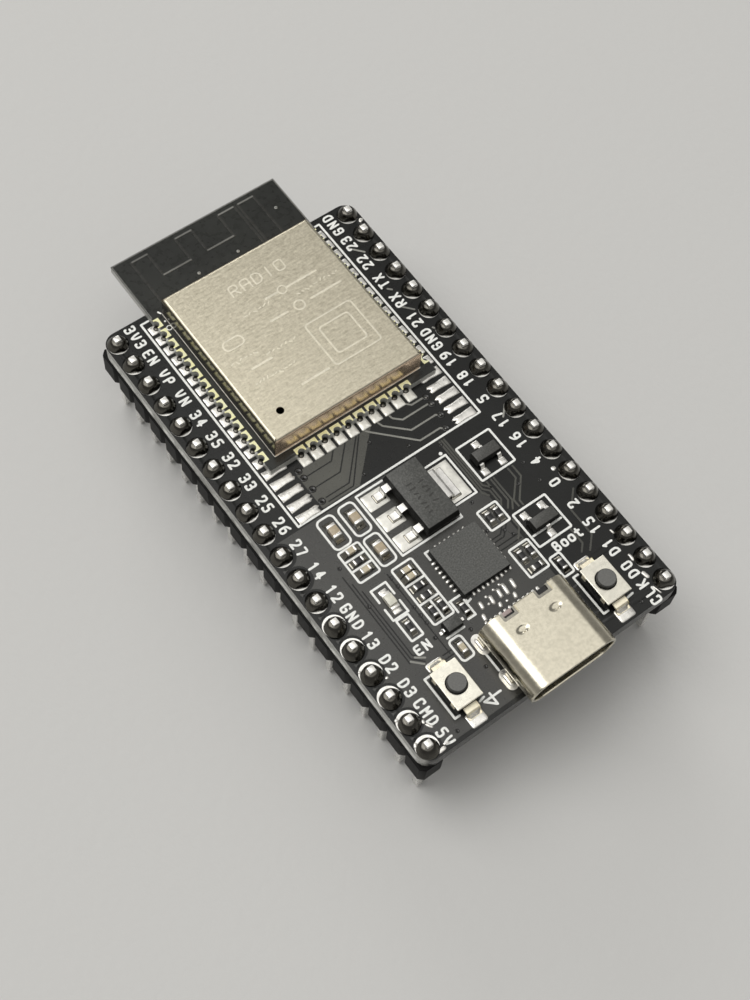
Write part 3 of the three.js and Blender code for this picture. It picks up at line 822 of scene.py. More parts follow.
SMALL_VIAS = [
    (-0.05, 2.1), (2.6, -0.15), (-2.3, -0.15), (3.75, -7.7), (4.8, -12.1), (4.4, -11.4), (9.9, -7.2),
    (4.95, -1.7), (-6.25, -9.4), (-6.25, -10.3), (-6.25, -12.6), (-6.25, -13.5), (-6.25, -14.3),
    (-6.5, -15.8), (-9.3, -6.2), (-9.3, -10.4), (10.0, -9.4), (3.1, -10.6), (-3.6, -16.9),
    (-9.9, -23.2), (9.8, -23.3), (0.4, -1.75), (8.2, -8.6), (-2.9, -18.2), (5.9, -19.5), (-4.6, -20.2),
]

# A tented via from its foot to the dimple in its middle, as (radius, height).
VIA_PROFILE = [(0.36, 0.0), (0.34, 0.03), (0.27, 0.05), (0.2, 0.045), (0.14, 0.02), (0.06, 0.012)]
SMALL_VIA_SHARE = 0.55


def add_copper_pours():
    """Copper under the mask by the module and in front, grooved round its traces and pins."""
    near_module = [
        rounded_outline(-7.15, -3.9, -0.82, 3.3, 0.2),
        [(-3.95, -0.82), (-3.2, -0.82), (1.0, 3.3), (-3.95, 3.3)],
    ]
    front = [
        rounded_outline(-13.35, 2.4, -23.7, -1.3, 0.6),
        rounded_outline(2.3, 5.35, -23.7, -7.3, 0.4),
    ]
    front_pins = range(8, PIN_COUNT)
    grooves = strokes(LEFT_TRACES + FINE_TRACES, 0.13)
    clearance = 1.3
    for side in (-1, 1):
        grooves += [circle_outline(PIN_X * side, pin_y(i), clearance, 20) for i in front_pins]
    thickness = MASK_LIFT * 0.6
    add_layer("copper_by_module", near_module, 0, thickness, POUR, "solder_mask", holes=grooves)
    add_layer("copper_in_front", front, 0, thickness, DIM_POUR, "solder_mask", holes=grooves)


def add_traces(name, paths, width, look):
    shape = Shape()
    for path in paths:
        shape.sheet(stroke_outlines(path, width), 0, MASK_LIFT)
    shape.piece(name, look, "solder_mask", smooth=60)


def add_vias():
    """Vias under glossy mask, each a low rim round a dimple."""
    shape = Shape()
    for vias, share in ((TENTED_VIAS, 1), (SMALL_VIAS, SMALL_VIA_SHARE)):
        for x, y in vias:
            shape.turned([(radius * share, z) for radius, z in VIA_PROFILE], x, y, 16)
    shape.piece("tented_vias", GLOSSY_MASK, "solder_mask", smooth=60)


def add_mask_relief():
    add_copper_pours()
    # These traces are painted pale as a highlight.
    add_traces("raised_traces", RIGHT_TRACES + DIAGONAL_TRACES, 0.17, TRACE_HIGHLIGHT)
    add_traces("boot_traces", BOOT_TRACES, 0.16, POUR)
    add_vias()


# ---- pins and their joints

def joint_slump(side, index):
    """How the solder sits: the way that it leans, in degrees from +x, how far, the depth and
    half width in radians of the dent behind it, and the radius of its plated ring."""
    if side > 0:
        return 58, 0.05, 0.2, 0.45, 0.97
    if index < 13:
        return 78, 0.05, 0.2, 0.45, 0.97
    return 262, 0.14, 0.24, 0.8, 1.03


# The side of a joint from its foot to its tip, as (radius, share of the height).
CONE_PROFILE = [(0.96, 0.0), (1.0, 0.1), (0.96, 0.2), (0.89, 0.36), (0.8, 0.56), (0.7, 0.76), (0.58, 0.92),
                (0.44, 1.0)]
CONE_STEPS = 28
PIN_HOLE_RADIUS = 0.5
TIP_SIZE = (0.6, 0.6, 0.26)
TIP_FOOT = 0.88


def cone_rings(x, y, slump, rng):
    """Rings of a slightly lobed cone that leans one way and is dented behind."""
    degrees, reach, dent, half_width = slump
    angle = math.radians(degrees + rng.uniform(-14, 14))
    slide = Vector((math.cos(angle), math.sin(angle))) * reach * rng.uniform(0.8, 1.2)
    tall = rng.uniform(0.7, 0.86)
    lobes = rng.uniform(0, 2 * math.pi)
    rings = []
    for radius, share in CONE_PROFILE:
        lean = slide * (1 - share)
        ring = []
        for k in range(CONE_STEPS):
            around = 2 * math.pi * k / CONE_STEPS
            off_dent = math.remainder(around - angle - math.pi, 2 * math.pi)
            pull = dent * (1 - share) * math.exp(-(off_dent / half_width) ** 2)
            swell = radius * (1 + 0.02 * math.sin(3 * around + lobes) - pull)
            ring.append((x + lean.x + swell * math.cos(around), y + lean.y + swell * math.sin(around),
                         MASK_LIFT + share * tall))
        rings.append(ring)
    return rings


def add_pin_joints():
    """A glossy cone of solder, painted dark as shade, on each pin's plated ring, and the pin's bright tip.

    joint_slump's last number is the plated ring's radius; the others shape the cone.
    """
    rng = random.Random(4)
    plated, cones, tips = Shape(), Shape(), Shape()
    for side in (-1, 1):
        for i in range(PIN_COUNT):
            x, y = side * PIN_X, pin_y(i)
            *slump, radius = joint_slump(side, i)
            hole = circle_outline(x, y, PIN_HOLE_RADIUS)
            plated.sheet([circle_outline(x, y, radius, 32)], -SINK, PAD_LIFT, [hole])
            cones.loft(cone_rings(x, y, slump, rng))
            tips.block((x, y), TIP_SIZE, TIP_FOOT, 0.06)
    plated.piece("pin_pads", PIN_TIP, "solder")
    cones.solder("pin_solder", SHADED_SOLDER, smooth=70)
    tips.piece("pin_tips", PIN_TIP, "pin_metal")


# Stray solder beside the pins: x, y, length, width and heading in degrees.
SPLASHES = [
    (-13.41, -14.6, 0.28, 0.24, 0), (-11.85, -16.3, 0.32, 0.28, 0), (-13.4, -19.65, 0.34, 0.3, 0),
    (-11.7, -21.0, 0.38, 0.28, 80), (-11.5, -21.55, 0.7, 0.24, -60), (-13.4, -22.2, 0.5, 0.3, 55),
    (-11.9, -23.72, 0.9, 0.36, 0), (-11.25, -23.5, 0.6, 0.2, -15), (13.42, 21.7, 0.52, 0.4, 20),
    (13.42, 19.95, 0.58, 0.32, 55), (11.7, -9.2, 0.52, 0.44, 0), (11.95, -16.85, 0.55, 0.2, -85),
    (11.75, -19.65, 0.8, 0.28, -90), (11.68, -21.6, 0.85, 0.38, -80), (11.6, -23.2, 1.0, 0.12, -75),
]


def add_splashes():
    """Low stray drops with uneven outlines."""
    rng = random.Random(21)
    shape = Shape()
    for x, y, length, width, heading in SPLASHES:
        angle = math.radians(heading)
        dx, dy = ((length - width) / 2 * share for share in (math.cos(angle), math.sin(angle)))
        outline = capsule_outline((x - dx, y - dy), (x + dx, y + dy), width)
        ragged = [(px + rng.uniform(-0.03, 0.03), py + rng.uniform(-0.03, 0.03)) for px, py in outline]
        shape.dome(ragged, PAD_LIFT, 0.07)
    shape.solder("solder_splashes")


# ---- pads

def ragged_pad(side, y, rng):
    """A long pad for a wire: square at its outer end, uneven where the solder stopped."""
    half = 0.46
    outer_x, waist_x, waist = 9.6, 8.3, half * 0.8
    inner = [(7.5, -half * 0.9), (7.34, -half * 0.35), (7.55, 0.0), (7.3, half * 0.45), (7.52, half * 0.9)]
    points = [(outer_x, -half), (waist_x, -waist)]
    points += [(x + rng.uniform(-0.1, 0.1), offset) for x, offset in inner]
    points += [(waist_x, waist), (outer_x, half)]
    placed = [(side * x, y + side * offset) for x, offset in points]
    return placed[::-1]


# Solder in an edge hole of the module, as (radius, height).
HOLE_FILLET = [(0.33, 0.03), (0.31, 0.1), (0.25, 0.16), (0.12, 0.19)]


def add_board_pads():
    """The main board's pads round the module, and the solder in the module's edge holes."""
    rng = random.Random(8)
    front, flat, fillets = Shape(), Shape(), Shape()
    for x in FRONT_PAD_XS:
        front.dome(rounded_outline(x - 0.5, x + 0.5, 3.3, 4.5, 0.09, 3), PAD_LIFT, 0.08)
        fillets.turned(HOLE_FILLET, x, 4.42, 16)
    for side in (-1, 1):
        x0, x1 = sorted((side * 8.9, side * 9.66))
        for y in SIDE_PAD_YS:
            flat.dome(rounded_outline(x0, x1, y - 0.47, y + 0.47, 0.09, 3), PAD_LIFT, 0.06)
            fillets.turned(HOLE_FILLET, side * 8.94, y, 16)
        for y in WIRE_PAD_YS:
            flat.dome(ragged_pad(side, y, rng), PAD_LIFT, 0.1)
    front.solder("radio_front_pads", PALE_SOLDER)
    flat.solder("radio_footprint_pads")
    # The solder in the edge holes is painted dark as shade.
    fillets.solder("radio_solder_fillets", SHADED_SOLDER, smooth=70)


# ---- radio module

def half_hole_pad(x, y, outward, width, depth, notch=0.36, steps=8):
    """A pad on the module's edge at (x, y), its outer edge cut by a half-round hole."""
    points = [(-width / 2, 0), (-notch, 0)]
    for i in range(1, steps):
        angle = math.pi - math.pi * i / steps
        points.append((notch * math.cos(angle), notch * math.sin(angle)))
    points += [(notch, 0), (width / 2, 0), (width / 2, depth), (-width / 2, depth)]
    place = place_at(x, y, turn=outward)
    return [(place @ Vector((px, py, 0))).to_2d().to_tuple() for px, py in points]


def add_radio_pads():
    """Gold pads over each edge hole of the module, at its front and both sides."""
    spots = [(x, RADIO_LOW.y, 0, 1.0, 0.6) for x in FRONT_PAD_XS]
    for y in SIDE_PAD_YS:
        spots.append((RADIO_LOW.x, y, -math.pi / 2, 0.98, 0.56))
        spots.append((RADIO_HIGH.x, y, math.pi / 2, 0.98, 0.56))
    shape = Shape()
    for spot in spots:
        shape.sheet([half_hole_pad(*spot)], RADIO_TOP - SINK, RADIO_TOP + 0.035)
    shape.piece("radio_edge_pads", GOLD, "gold_pad", smooth=30)


def add_on_radio(name, outlines, lift, material, slot="solder_mask", **settings):
    """A thin layer on the module's board."""
    add_layer(name, outlines, RADIO_TOP - SINK, RADIO_TOP + lift, material, slot, **settings)


def add_aerial():
    """The printed aerial is a raised meander under the mask; its crossbars and vias are painted lighter as
    a highlight.
    """
    upper, lower = 29.2, 26.45
    foot = lower - 2.2
    risers = [(-7.2, foot), (-5.45, lower), (-2.45, lower), (-0.65, lower), (2.3, lower), (4.15, foot),
              (4.5, foot), (6.3, foot)]
    bars = [(-7.1, -5.5, upper), (-5.4, -2.5, lower), (-2.4, -0.7, upper), (-0.6, 2.2, lower),
            (2.4, 4.0, upper), (4.6, 6.2, upper)]
    lengthwise = strokes([[(x, y), (x, upper)] for x, y in risers], 0.2)
    crosswise = strokes([[(x0, y), (x1, y)] for x0, x1, y in bars], 0.17)
    add_on_radio("aerial_risers", lengthwise, 0.02, AERIAL)
    add_on_radio("aerial_bars", crosswise, 0.03, AERIAL_HIGHLIGHT)
    vias = Shape()
    profile = [(0.16, RADIO_TOP - SINK), (0.15, RADIO_TOP + 0.03), (0.08, RADIO_TOP + 0.05)]
    for x, y in ((-2.7, 24.8), (1.6, 24.8), (7.3, 26.9)):
        vias.turned(profile, x, y, 12)
    vias.piece("aerial_vias", AERIAL_HIGHLIGHT, "solder_mask", smooth=60)


def add_radio_marks():
    """A painted highlight along the module's outer edges round the aerial, and a few printed marks beside
    the can.
    """
    left, right, rear = RADIO_LOW.x + 0.09, RADIO_HIGH.x - 0.09, RADIO_HIGH.y - 0.09
    # A thin pale line just inside the edges: a painted highlight where the edge catches the light.
    rim = stroke_outlines([(left, 23.1), (left, rear), (right, rear), (right, 23.1)], 0.06)
    add_on_radio("radio_rim_highlight", rim, 0.012, RIM_HIGHLIGHT)
    marks = stroke_outlines(circle_outline(-8.15, 21.4, 0.24, 16), 0.09, closed=True)
    marks += stroke_outlines([(-7.97, 23.1), (-8.1, 23.35)], 0.16)
    marks.append(circle_outline(-8.1, 22.2, 0.1, 12))
    add_on_radio("radio_marks", marks, 0.02, INK, "silk_ink", smooth=40)


def can_wall(shape, length, bend, wall, z0, z1, move):
    """One folded side of the can. Its ends are mitred, which leaves a slit at each corner."""
    outer, inner = [], []
    steps, gap, least = 6, 0.05, 0.02
    for i in range(steps + 1):
        angle = math.pi / 2 * i / steps
        inset = bend * (1 - math.sin(angle))
        reach = bend - (bend - wall) * math.sin(angle)
        outer.append((inset, z1 - bend * (1 - math.cos(angle))))
        inner.append((max(reach, inset + least), z1 - wall - (bend - wall) * (1 - math.cos(angle))))
    profile = outer + [(0, z0), (wall, z0)] + inner[::-1]
    ends = []
    for side in (-1, 1):
        ends.append([(side * (length / 2 - inset - gap), inset, z) for inset, z in profile])
    shape.loft(ends, move)


def add_can():
    """The folded can: top plate with a vent hole, four bent walls and open corner slits."""
    bend, wall = 0.3, 0.2
    low, high = local_box("radio_can")
    width, length = high.x - low.x, high.y - low.y
    plate = [(low.x + bend, low.y + bend), (high.x - bend, low.y + bend),
             (high.x - bend, high.y - bend), (low.x + bend, high.y - bend)]
    vent = circle_outline(-5.7, 7.65, 0.36, 28)
    shape = Shape()
    shape.sheet([plate], high.z - wall, high.z, [vent])
    for quarter in range(4):
        along, across = (length, width) if quarter % 2 else (width, length)
        turned = place_at(*middle(low, high), turn=math.radians(90 * quarter))
        move = turned @ place_at(0, -across / 2)
        can_wall(shape, along, bend, wall, low.z + 0.05, high.z, move)
    shape.piece("radio_can_sheet", CAN_METAL, "can_metal", smooth=50, replaces=("radio_can",))
    outline = rounded_outline(low.x - 0.03, high.x + 0.03, low.y - 0.07, high.y + 0.07, 0.1, 2)
    hole = rounded_outline(low.x + 0.02, high.x - 0.02, low.y + 0.02, high.y - 0.02, 0.05, 2)
    add_on_radio("can_solder_line", [outline], 0.06, PALE_SOLDER, "solder", smooth=40, holes=[hole])
    add_can_etching(high.z)


# Etched on the can: lines of broken script and plain bars, as x0, x1, y.
SCRIPT_LINES = [(-6.6, -3.9, 13.7), (-5.9, -1.6, 10.9), (-3.4, -0.5, 12.9), (2.4, 6.9, 16.6),
                (-2.9, -0.2, 17.2)]
ETCHED_BARS = [(-0.2, 1.0, 17.7), (2.0, 5.2, 17.7), (-1.2, 0.6, 15.5), (3.2, 6.4, 15.5), (-2.6, 0.2, 8.7),
               (-5.3, -3.3, 12.4)]


def add_can_etching(top):
    """Faint etched marks: a plain title, script, bars, rings and nested squares."""
    rng = random.Random(12)
    outlines = text_outlines("RADIO", 0.4, 20.0, 1.25, 0, width=0.95, pen=0.14, gap=0.22)
    for x0, x1, y in SCRIPT_LINES:
        x = x0
        while x < x1:
            reach = rng.uniform(0.1, 0.34)
            outlines += stroke_outlines([(x, y), (x + reach, y + rng.uniform(-0.22, 0.22))], 0.12)
            x += reach + rng.uniform(0.2, 0.36)
    outlines += strokes([[(x0, y), (x1, y)] for x0, x1, y in ETCHED_BARS], 0.22)
    round_marks = [circle_outline(1.55, 17.7, 0.42, 16), rounded_outline(-6.2, -4.2, 15.0, 16.0, 0.45)]
    outlines += strokes(round_marks, 0.14, closed=True)
    bold_marks = [circle_outline(1.9, 15.5, 0.5, 16)]
    for inset in (0, 0.9):
        bold_marks.append(rounded_outline(0.95 + inset, 5.9 - inset, 8.55 + inset, 13.45 - inset, 0.3))
    outlines += strokes(bold_marks, 0.16, closed=True)
    add_layer("can_etching", outlines, top - SINK, top + 0.012, ETCHED, "can_metal")


# ---- USB-C socket

def stadium_point(share, half_height, straight):
    """The point at a share of the way round a slot outline, from its bottom middle."""
    arc = math.pi * half_height
    total = 4 * straight + 2 * arc
    d = (share % 1) * total
    if d < straight:
        return d, -half_height
    if d < straight + arc:
        a = -math.pi / 2 + (d - straight) / half_height
        return straight + half_height * math.cos(a), half_height * math.sin(a)
    if d < 3 * straight + arc:
        return straight - (d - straight - arc), half_height
    if d < 3 * straight + 2 * arc:
        a = math.pi / 2 + (d - 3 * straight - arc) / half_height
        return -straight + half_height * math.cos(a), half_height * math.sin(a)
    return -straight + (d - 3 * straight - 2 * arc), -half_height


def dimple_depth(x, y, centre_x, centre_y):
    """Depth of a pressed oval dimple, with a flat floor and a soft rim."""
    reach = math.hypot((x - centre_x) / 0.52, (y - centre_y) / 0.3)
    return 0.09 * min(1.0, max(0.0, (1.12 - reach) / 0.3))


def usb_stations():
    """Places along the shell, as (y, how far its lip is rounded off there)."""
    front, rear, lip, steps = USB_LOW.y, USB_HIGH.y, 0.06, 72
    stations = [(front, lip), (front + lip * 0.3, lip * 0.3), (front + lip, 0)]
    stations += [(front + lip + (rear - front - 2 * lip) * i / steps, 0) for i in range(1, steps)]
    return stations + [(rear - lip, 0), (rear - lip * 0.3, lip * 0.3), (rear, lip)]


def add_usb_shell():
    """A bent tube with two dimples pressed into its top and two notches in its rear edge."""
    height = USB_HIGH.z
    straight = (USB_HIGH.x - USB_LOW.x) / 2 - height / 2
    wall, around = 0.3, 208
    shape = Shape()
    skins = []
    for inside in (False, True):
        rows = []
        for y, lip in usb_stations():
            radius = height / 2 - (wall - lip if inside else lip)
            row = []
            for i in range(around):
                x, z = stadium_point(i / around, radius, straight)
                if z > 0:
                    z -= sum(dimple_depth(x, y, side * 1.74, -20.1) for side in (-1, 1))
                row.append(shape.mesh.verts.new((USB_X + x, y, height / 2 + z)))
            rows.append(row)
        skins.append(rows)
    outer, inner = skins
    bands = list(zip(outer, outer[1:])) + list(zip(inner[1:], inner))
    for first, second in [*bands, (inner[0], outer[0]), (outer[-1], inner[-1])]:
        shape.band(first, second)
    shell = shape.piece("usb_shell_skin", SHELL_METAL, "shell_metal", smooth=50, replaces=("usb_shell",))
    cut_notches(shell)


def cut_notches(shell):
    """Cuts a notch with round corners on each side of the shell's rear edge."""
    tools = []
    for side in (-1, 1):
        cutter = Shape()
        spot = (USB_X + side * USB_NOTCH_X, USB_HIGH.y + 0.05)
        cutter.block(spot, (1.6, 1.9, 0.9), USB_HIGH.z - USB_NOTCH_DEPTH, 0.16, segments=4)
        tool = cutter.piece("usb_notch_tool", SHELL_METAL, "shell_metal")
        cutting = shell.modifiers.new("notch", "BOOLEAN")
        cutting.operation = "DIFFERENCE"
        cutting.solver = "EXACT"
        cutting.object = tool
        tools.append(tool)
    depsgraph = bpy.context.evaluated_depsgraph_get()
    cut_mesh = bpy.data.meshes.new_from_object(shell.evaluated_get(depsgraph))
    shell.modifiers.clear()
    shell.data = cut_mesh
    cut_mesh.set_sharp_from_angle(angle=math.radians(35))
    for tool in tools:
        bpy.data.objects.remove(tool)


def add_usb_tabs():
    """The shell's four solder tabs, each in a slot with a mound of solder."""
    tabs, mounds = Shape(), Shape()
    for side in (-1, 1):
        for y in USB_TAB_Y:
            tabs.block((USB_X + side * USB_TAB_X, y), (0.24, 0.9, 3.4), -1.9, 0.04)
            x = USB_X + side * (USB_TAB_X + 0.03)
            hole = pad_outline(x, y, 0.16, 0.55, 0.15)
            mounds.sheet([pad_outline(x, y, 0.55, 1.0, 0.54, 6)], 0, PAD_LIFT + 0.03, [hole])
            mounds.dome(pad_outline(x, y, 0.3, 0.7, 0.29, 6), PAD_LIFT, 0.16)
    tabs.piece("usb_tabs", SHELL_METAL, "shell_metal")
    mounds.solder("usb_tab_solder")


def add_usb_core():
    """What shows in the rear notches: the moulded core, and a rim of shell under each notch, painted dark
    as shade.
    """
    core, lips = Shape(), Shape()
    rear = USB_HIGH.y
    for side, depth in ((-1, 0.24), (1, 1.0)):
        x = USB_X + side * USB_NOTCH_X
        foot = USB_HIGH.z - USB_NOTCH_DEPTH - depth
        core.block((x - 0.12, rear - 0.22), (1.1, 0.4, 0.5), foot, 0.08)
        lip = rounded_outline(x - 0.86, x + 0.86, rear - 0.96, rear - 0.05, 0.16)
        gap = rounded_outline(x - 0.52, x + 0.52, rear - 0.6, rear + 0.2, 0.1)
        lips.sheet([lip], USB_HIGH.z - 0.3, USB_HIGH.z - 0.16, [gap])
    core.piece("usb_core", SOCKET_CORE, "switch_plastic")
    # The rims take the dimmed solder look: painted shade on the shell metal.
    lips.piece("usb_notch_lips", SHADE_DIMMED_SOLDER, "shell_metal")


# Solder behind the socket: long drops as x, y, length, and round ones as x, y.
LONG_DROPS = [(-1.55, -15.75, 0.5), (-0.5, -15.85, 0.6), (0.4, -15.75, 0.62), (1.05, -15.72, 0.85),
              (1.9, -15.7, 0.7), (-0.2, -16.62, 0.22), (1.38, -16.66, 0.3), (-2.02, -16.75, 0.4)]
ROUND_DROPS = [(-0.75, -15.35), (0.15, -15.2), (-0.95, -16.0), (0.5, -16.65), (0.85, -15.1)]


def add_usb_specks():
    """Drops of solder where the contact tails meet the board."""
    specks = Shape()
    for x, y, length in LONG_DROPS:
        outline = capsule_outline((x - 0.05, y - length / 2), (x + 0.03, y + length / 2), 0.36)
        specks.dome(outline, PAD_LIFT, 0.14)
    for x, y in ROUND_DROPS:
        specks.turned([(0.15, 0.0), (0.14, 0.08), (0.08, 0.12)], x, y, 12)
    specks.solder("usb_solder_specks")


def add_usb_contacts():
    """Twelve contacts on each face of the tongue, and their tails on pads behind the shell."""
    contacts, tails, pads = Shape(), Shape(), Shape()
    tongue_front = local_box("usb_housing")[0].y
    bend = [(0, 0.5), (0.3, 0.5), (0.42, 0.1), (0.8, 0.1)]
    rear = USB_HIGH.y
    pitch, tongue_faces = 0.5, (1.22, 1.93)
    for i in range(12):
        x = USB_X + (i - 5.5) * pitch
        for z in tongue_faces:
            contacts.block((x, tongue_front + 2.3), (0.25, 3.9, 0.05), z, 0.015)
        tails.strip(bend, 0.1, 0.22, (x, rear - 0.15), math.pi / 2, 0.08)
        pads.dome(rounded_outline(x - 0.14, x + 0.14, rear + 0.3, rear + 0.85, 0.05, 2), PAD_LIFT, 0.04)
    contacts.piece("usb_contacts", GOLD, "gold_pad")
    tails.piece("usb_tails", LEAD_METAL, "solder")
    pads.solder("usb_tail_pads")


# ---- leaded packages

def add_regulator():
    """A moulded package with three leads on one side and a wide tab on the other."""
    low, high = local_box("voltage_regulator")
    cx, cy = 0.2, (low.y + high.y) / 2
    lead_pitch, thickness, lead_width, tab_width, bend = 2.3, 0.26, 0.74, 3.0, 0.16
    body, leads, pads, grip = Shape(), Shape(), Shape(), Shape()
    body.tapered((cx, cy), (3.5, 6.5, high.z - 0.05), 0.05, 0.18)
    path = [(1.5, 0.9), (2.36, 0.9), (2.44, 0.26), (3.2, 0.26)]
    for step in (-1, 0, 1):
        y = cy + step * lead_pitch
        leads.strip(path, thickness, lead_width, (cx, y), math.pi, bend)
        grip.dome(rounded_outline(-3.14, -2.06, y - 0.47, y + 0.47, 0.1, 3), 0.08, 0.1)
        pads.dome(rounded_outline(-4.02, -1.88, y - 0.82, y + 0.82, 0.1, 2), PAD_LIFT, 0.05)
    leads.strip(path, thickness, tab_width, (cx, cy), 0, bend)
    grip.dome(rounded_outline(2.46, 3.54, cy - 1.62, cy + 1.62, 0.1, 3), 0.08, 0.1)
    pads.dome(rounded_outline(2.42, 4.4, cy - 1.93, cy + 1.93, 0.06, 2), PAD_LIFT, 0.04)
    body.piece("regulator_body", PACKAGE, "package_plastic", replaces=("voltage_regulator",))
    # These fillets are painted darker as shade.
    grip.solder("regulator_fillets", SHADE_DIMMED_SOLDER)
    leads.piece("regulator_leads", LEAD_METAL, "solder")
    pads.solder("regulator_pads", PALE_SOLDER)
    add_regulator_marks(high.z)


def add_regulator_marks(top):
    """Two lines of broken script on the package."""
    rng = random.Random(3)
    outlines = []
    for x, y_start, count in ((-0.3, -6.9, 7), (0.75, -6.2, 5)):
        for i in range(count):
            y = y_start + i * 0.52
            reach = rng.uniform(0.12, 0.26)
            outlines += stroke_outlines([(x - reach, y), (x + reach, y + rng.uniform(-0.15, 0.15))], 0.15)
    add_layer("regulator_marks", outlines, top - SINK, top + 0.004, PACKAGE_MARK, "package_plastic", 40)


def add_transistors():
    """Two small packages, each with a pair of leads on one side and a single one opposite."""
    leads, pads = Shape(), Shape()
    lead_pitch = 0.95
    path = [(0.4, 0.5), (0.8, 0.5), (0.9, 0.08), (1.25, 0.08)]
    for node, cx, cy, pair in (("transistor_1", 7.5, -4.75, -1), ("transistor_2", 7.6, -12.65, 1)):
        body = Shape()
        body.tapered((cx, cy), (2.7, 1.25, 0.95), 0.05, 0.1)
        body.piece(node + "_body", SMALL_PACKAGE, "package_plastic", replaces=(node,))
        for x, side in ((cx - lead_pitch, pair), (cx + lead_pitch, pair), (cx, -pair)):
            leads.strip(path, 0.15, 0.42, (x, cy), side * math.pi / 2, 0.1)
            y0, y1 = sorted((cy + side * 0.95, cy + side * 1.65))
            pads.dome(rounded_outline(x - 0.36, x + 0.36, y0, y1, 0.06, 2), PAD_LIFT, 0.1)
    leads.piece("transistor_leads", LEAD_METAL, "solder")
    pads.solder("transistor_pads")


def add_bridge_pads():
    """Seven solder ends on each side of the chip, and two more past its front corner."""
    low, high = local_box("usb_bridge_chip")
    cx, cy = middle(low, high)
    pitch, edge, reach, half = 0.5, 2.56, 0.28, 0.13
    shape = Shape()
    for step in (4, 5):
        x, y = cx + step * pitch, cy - 2.5
        shape.dome(capsule_outline((x, y - 0.1), (x, y + 0.1), 0.24), 0.1, 0.08)
    for step in range(-3, 4):
        offset = step * pitch
        for side in (-1, 1):
            shape.dome(pad_outline(cx + side * edge, cy + offset, reach, half, 0.1, 3), 0.1, 0.1)
            shape.dome(pad_outline(cx + offset, cy + side * edge, half, reach, 0.1, 3), 0.1, 0.1)
    shape.solder("bridge_chip_pads")


def add_diode():
    """A small moulded diode with a bent lead at each end."""
    centre = (-4.75, -15.8)
    body, leads = Shape(), Shape()
    body.tapered(centre, (1.6, 1.15, 0.9), 0.03, 0.07)
    for turn in (0, math.pi):
        leads.strip([(0.5, 0.4), (0.9, 0.4), (0.98, 0.08), (1.25, 0.08)], 0.13, 0.34, centre, turn, 0.08)
    body.piece("diode_body", PACKAGE, "package_plastic")
    leads.piece("diode_leads", LEAD_METAL, "solder")


# ---- chip capacitors and resistors

# Small parts: x, y, "x" or "y" for the way that they lie, and their kind.
SMALL_PARTS = [
    (-7.62, -5.52, "x", "cream"), (-7.62, -6.58, "x", "black"), (-7.62, -7.62, "x", "cream"),
    (-7.65, -13.85, "y", "black"), (-4.85, -9.62, "x", "cream"), (-4.85, -10.3, "x", "cream"),
    (-4.8, -11.35, "x", "black"), (-4.8, -12.35, "x", "black"), (-5.2, -13.85, "y", "black"),
    (-4.25, -13.85, "y", "black"), (-2.9, -15.15, "y", "black"), (-5.24, -17.85, "y", "cream"),
    (4.05, -9.8, "y", "black"), (4.95, -9.8, "y", "black"), (4.05, -14.2, "y", "black"),
    (5.0, -14.2, "y", "black"), (4.55, -15.65, "x", "black"), (6.42, -16.75, "y", "black"),
]
BIG_CAPACITORS = [(-7.74, -3.24), (-5.52, -3.24), (-5.46, -6.78)]
# Chip sizes: length, width, height.
SMALL_SIZES = {"cream": (0.98, 0.52, 0.5), "black": (0.98, 0.52, 0.35)}
BIG_SIZE = (1.3, 0.84, 0.62)
# Solder at a chip's end: how far out, and how high as a share of the chip.
CHIP_RAMP = [(-0.04, 0.85), (0.25, 0.72), (0.5, 0.42), (0.8, 0.22), (1.0, 0.12)]


def add_chip_part(ends, body, fillets, x, y, lies, size, end):
    """A ceramic chip with plated ends; solder ramps down from each end to its pad."""
    length, width, height = size
    turn = 0 if lies == "x" else math.pi / 2
    place = place_at(x, y, turn=turn)
    body.block((x, y), (length - end, width * 0.96, height * 0.96), 0.06, 0.02, turn)
    reach = 0.18 + height * 0.4
    steps = [(length / 2 + share * reach, width / 2 + 0.02 + 0.04 * share, max(rise * height, 0.06))
             for share, rise in CHIP_RAMP]
    for side in (-1, 1):
        spot = place @ Vector((side * (length - end) / 2, 0, 0))
        ends.block((spot.x, spot.y), (end, width, height), 0.05, min(0.06, end / 3), turn, 3)
        fillets.ramp(steps, place, side)


def add_passives():
    """The small resistors and capacitors, and the three large capacitors."""
    ends, big_ends, big_bodies, fillets = Shape(), Shape(), Shape(), Shape()
    bodies = {"cream": Shape(), "black": Shape()}
    for x, y, lies, kind in SMALL_PARTS:
        add_chip_part(ends, bodies[kind], fillets, x, y, lies, SMALL_SIZES[kind], 0.24)
    for x, y in BIG_CAPACITORS:
        add_chip_part(big_ends, big_bodies, fillets, x, y, "y", BIG_SIZE, 0.3)
    ends.piece("chip_part_ends", LEAD_METAL, "solder")
    bodies["cream"].piece("small_capacitors", CREAM_CERAMIC, "ceramic")
    bodies["black"].piece("resistors", RESISTOR_BLACK, "package_plastic")
    big_ends.piece("capacitor_ends", LEAD_METAL, "solder")
    big_bodies.piece("capacitor_bodies", TAN_CERAMIC, "ceramic")
    # These fillets are painted darker as shade and dark reflection.
    fillets.solder("chip_part_fillets", SHADE_DIMMED_SOLDER)


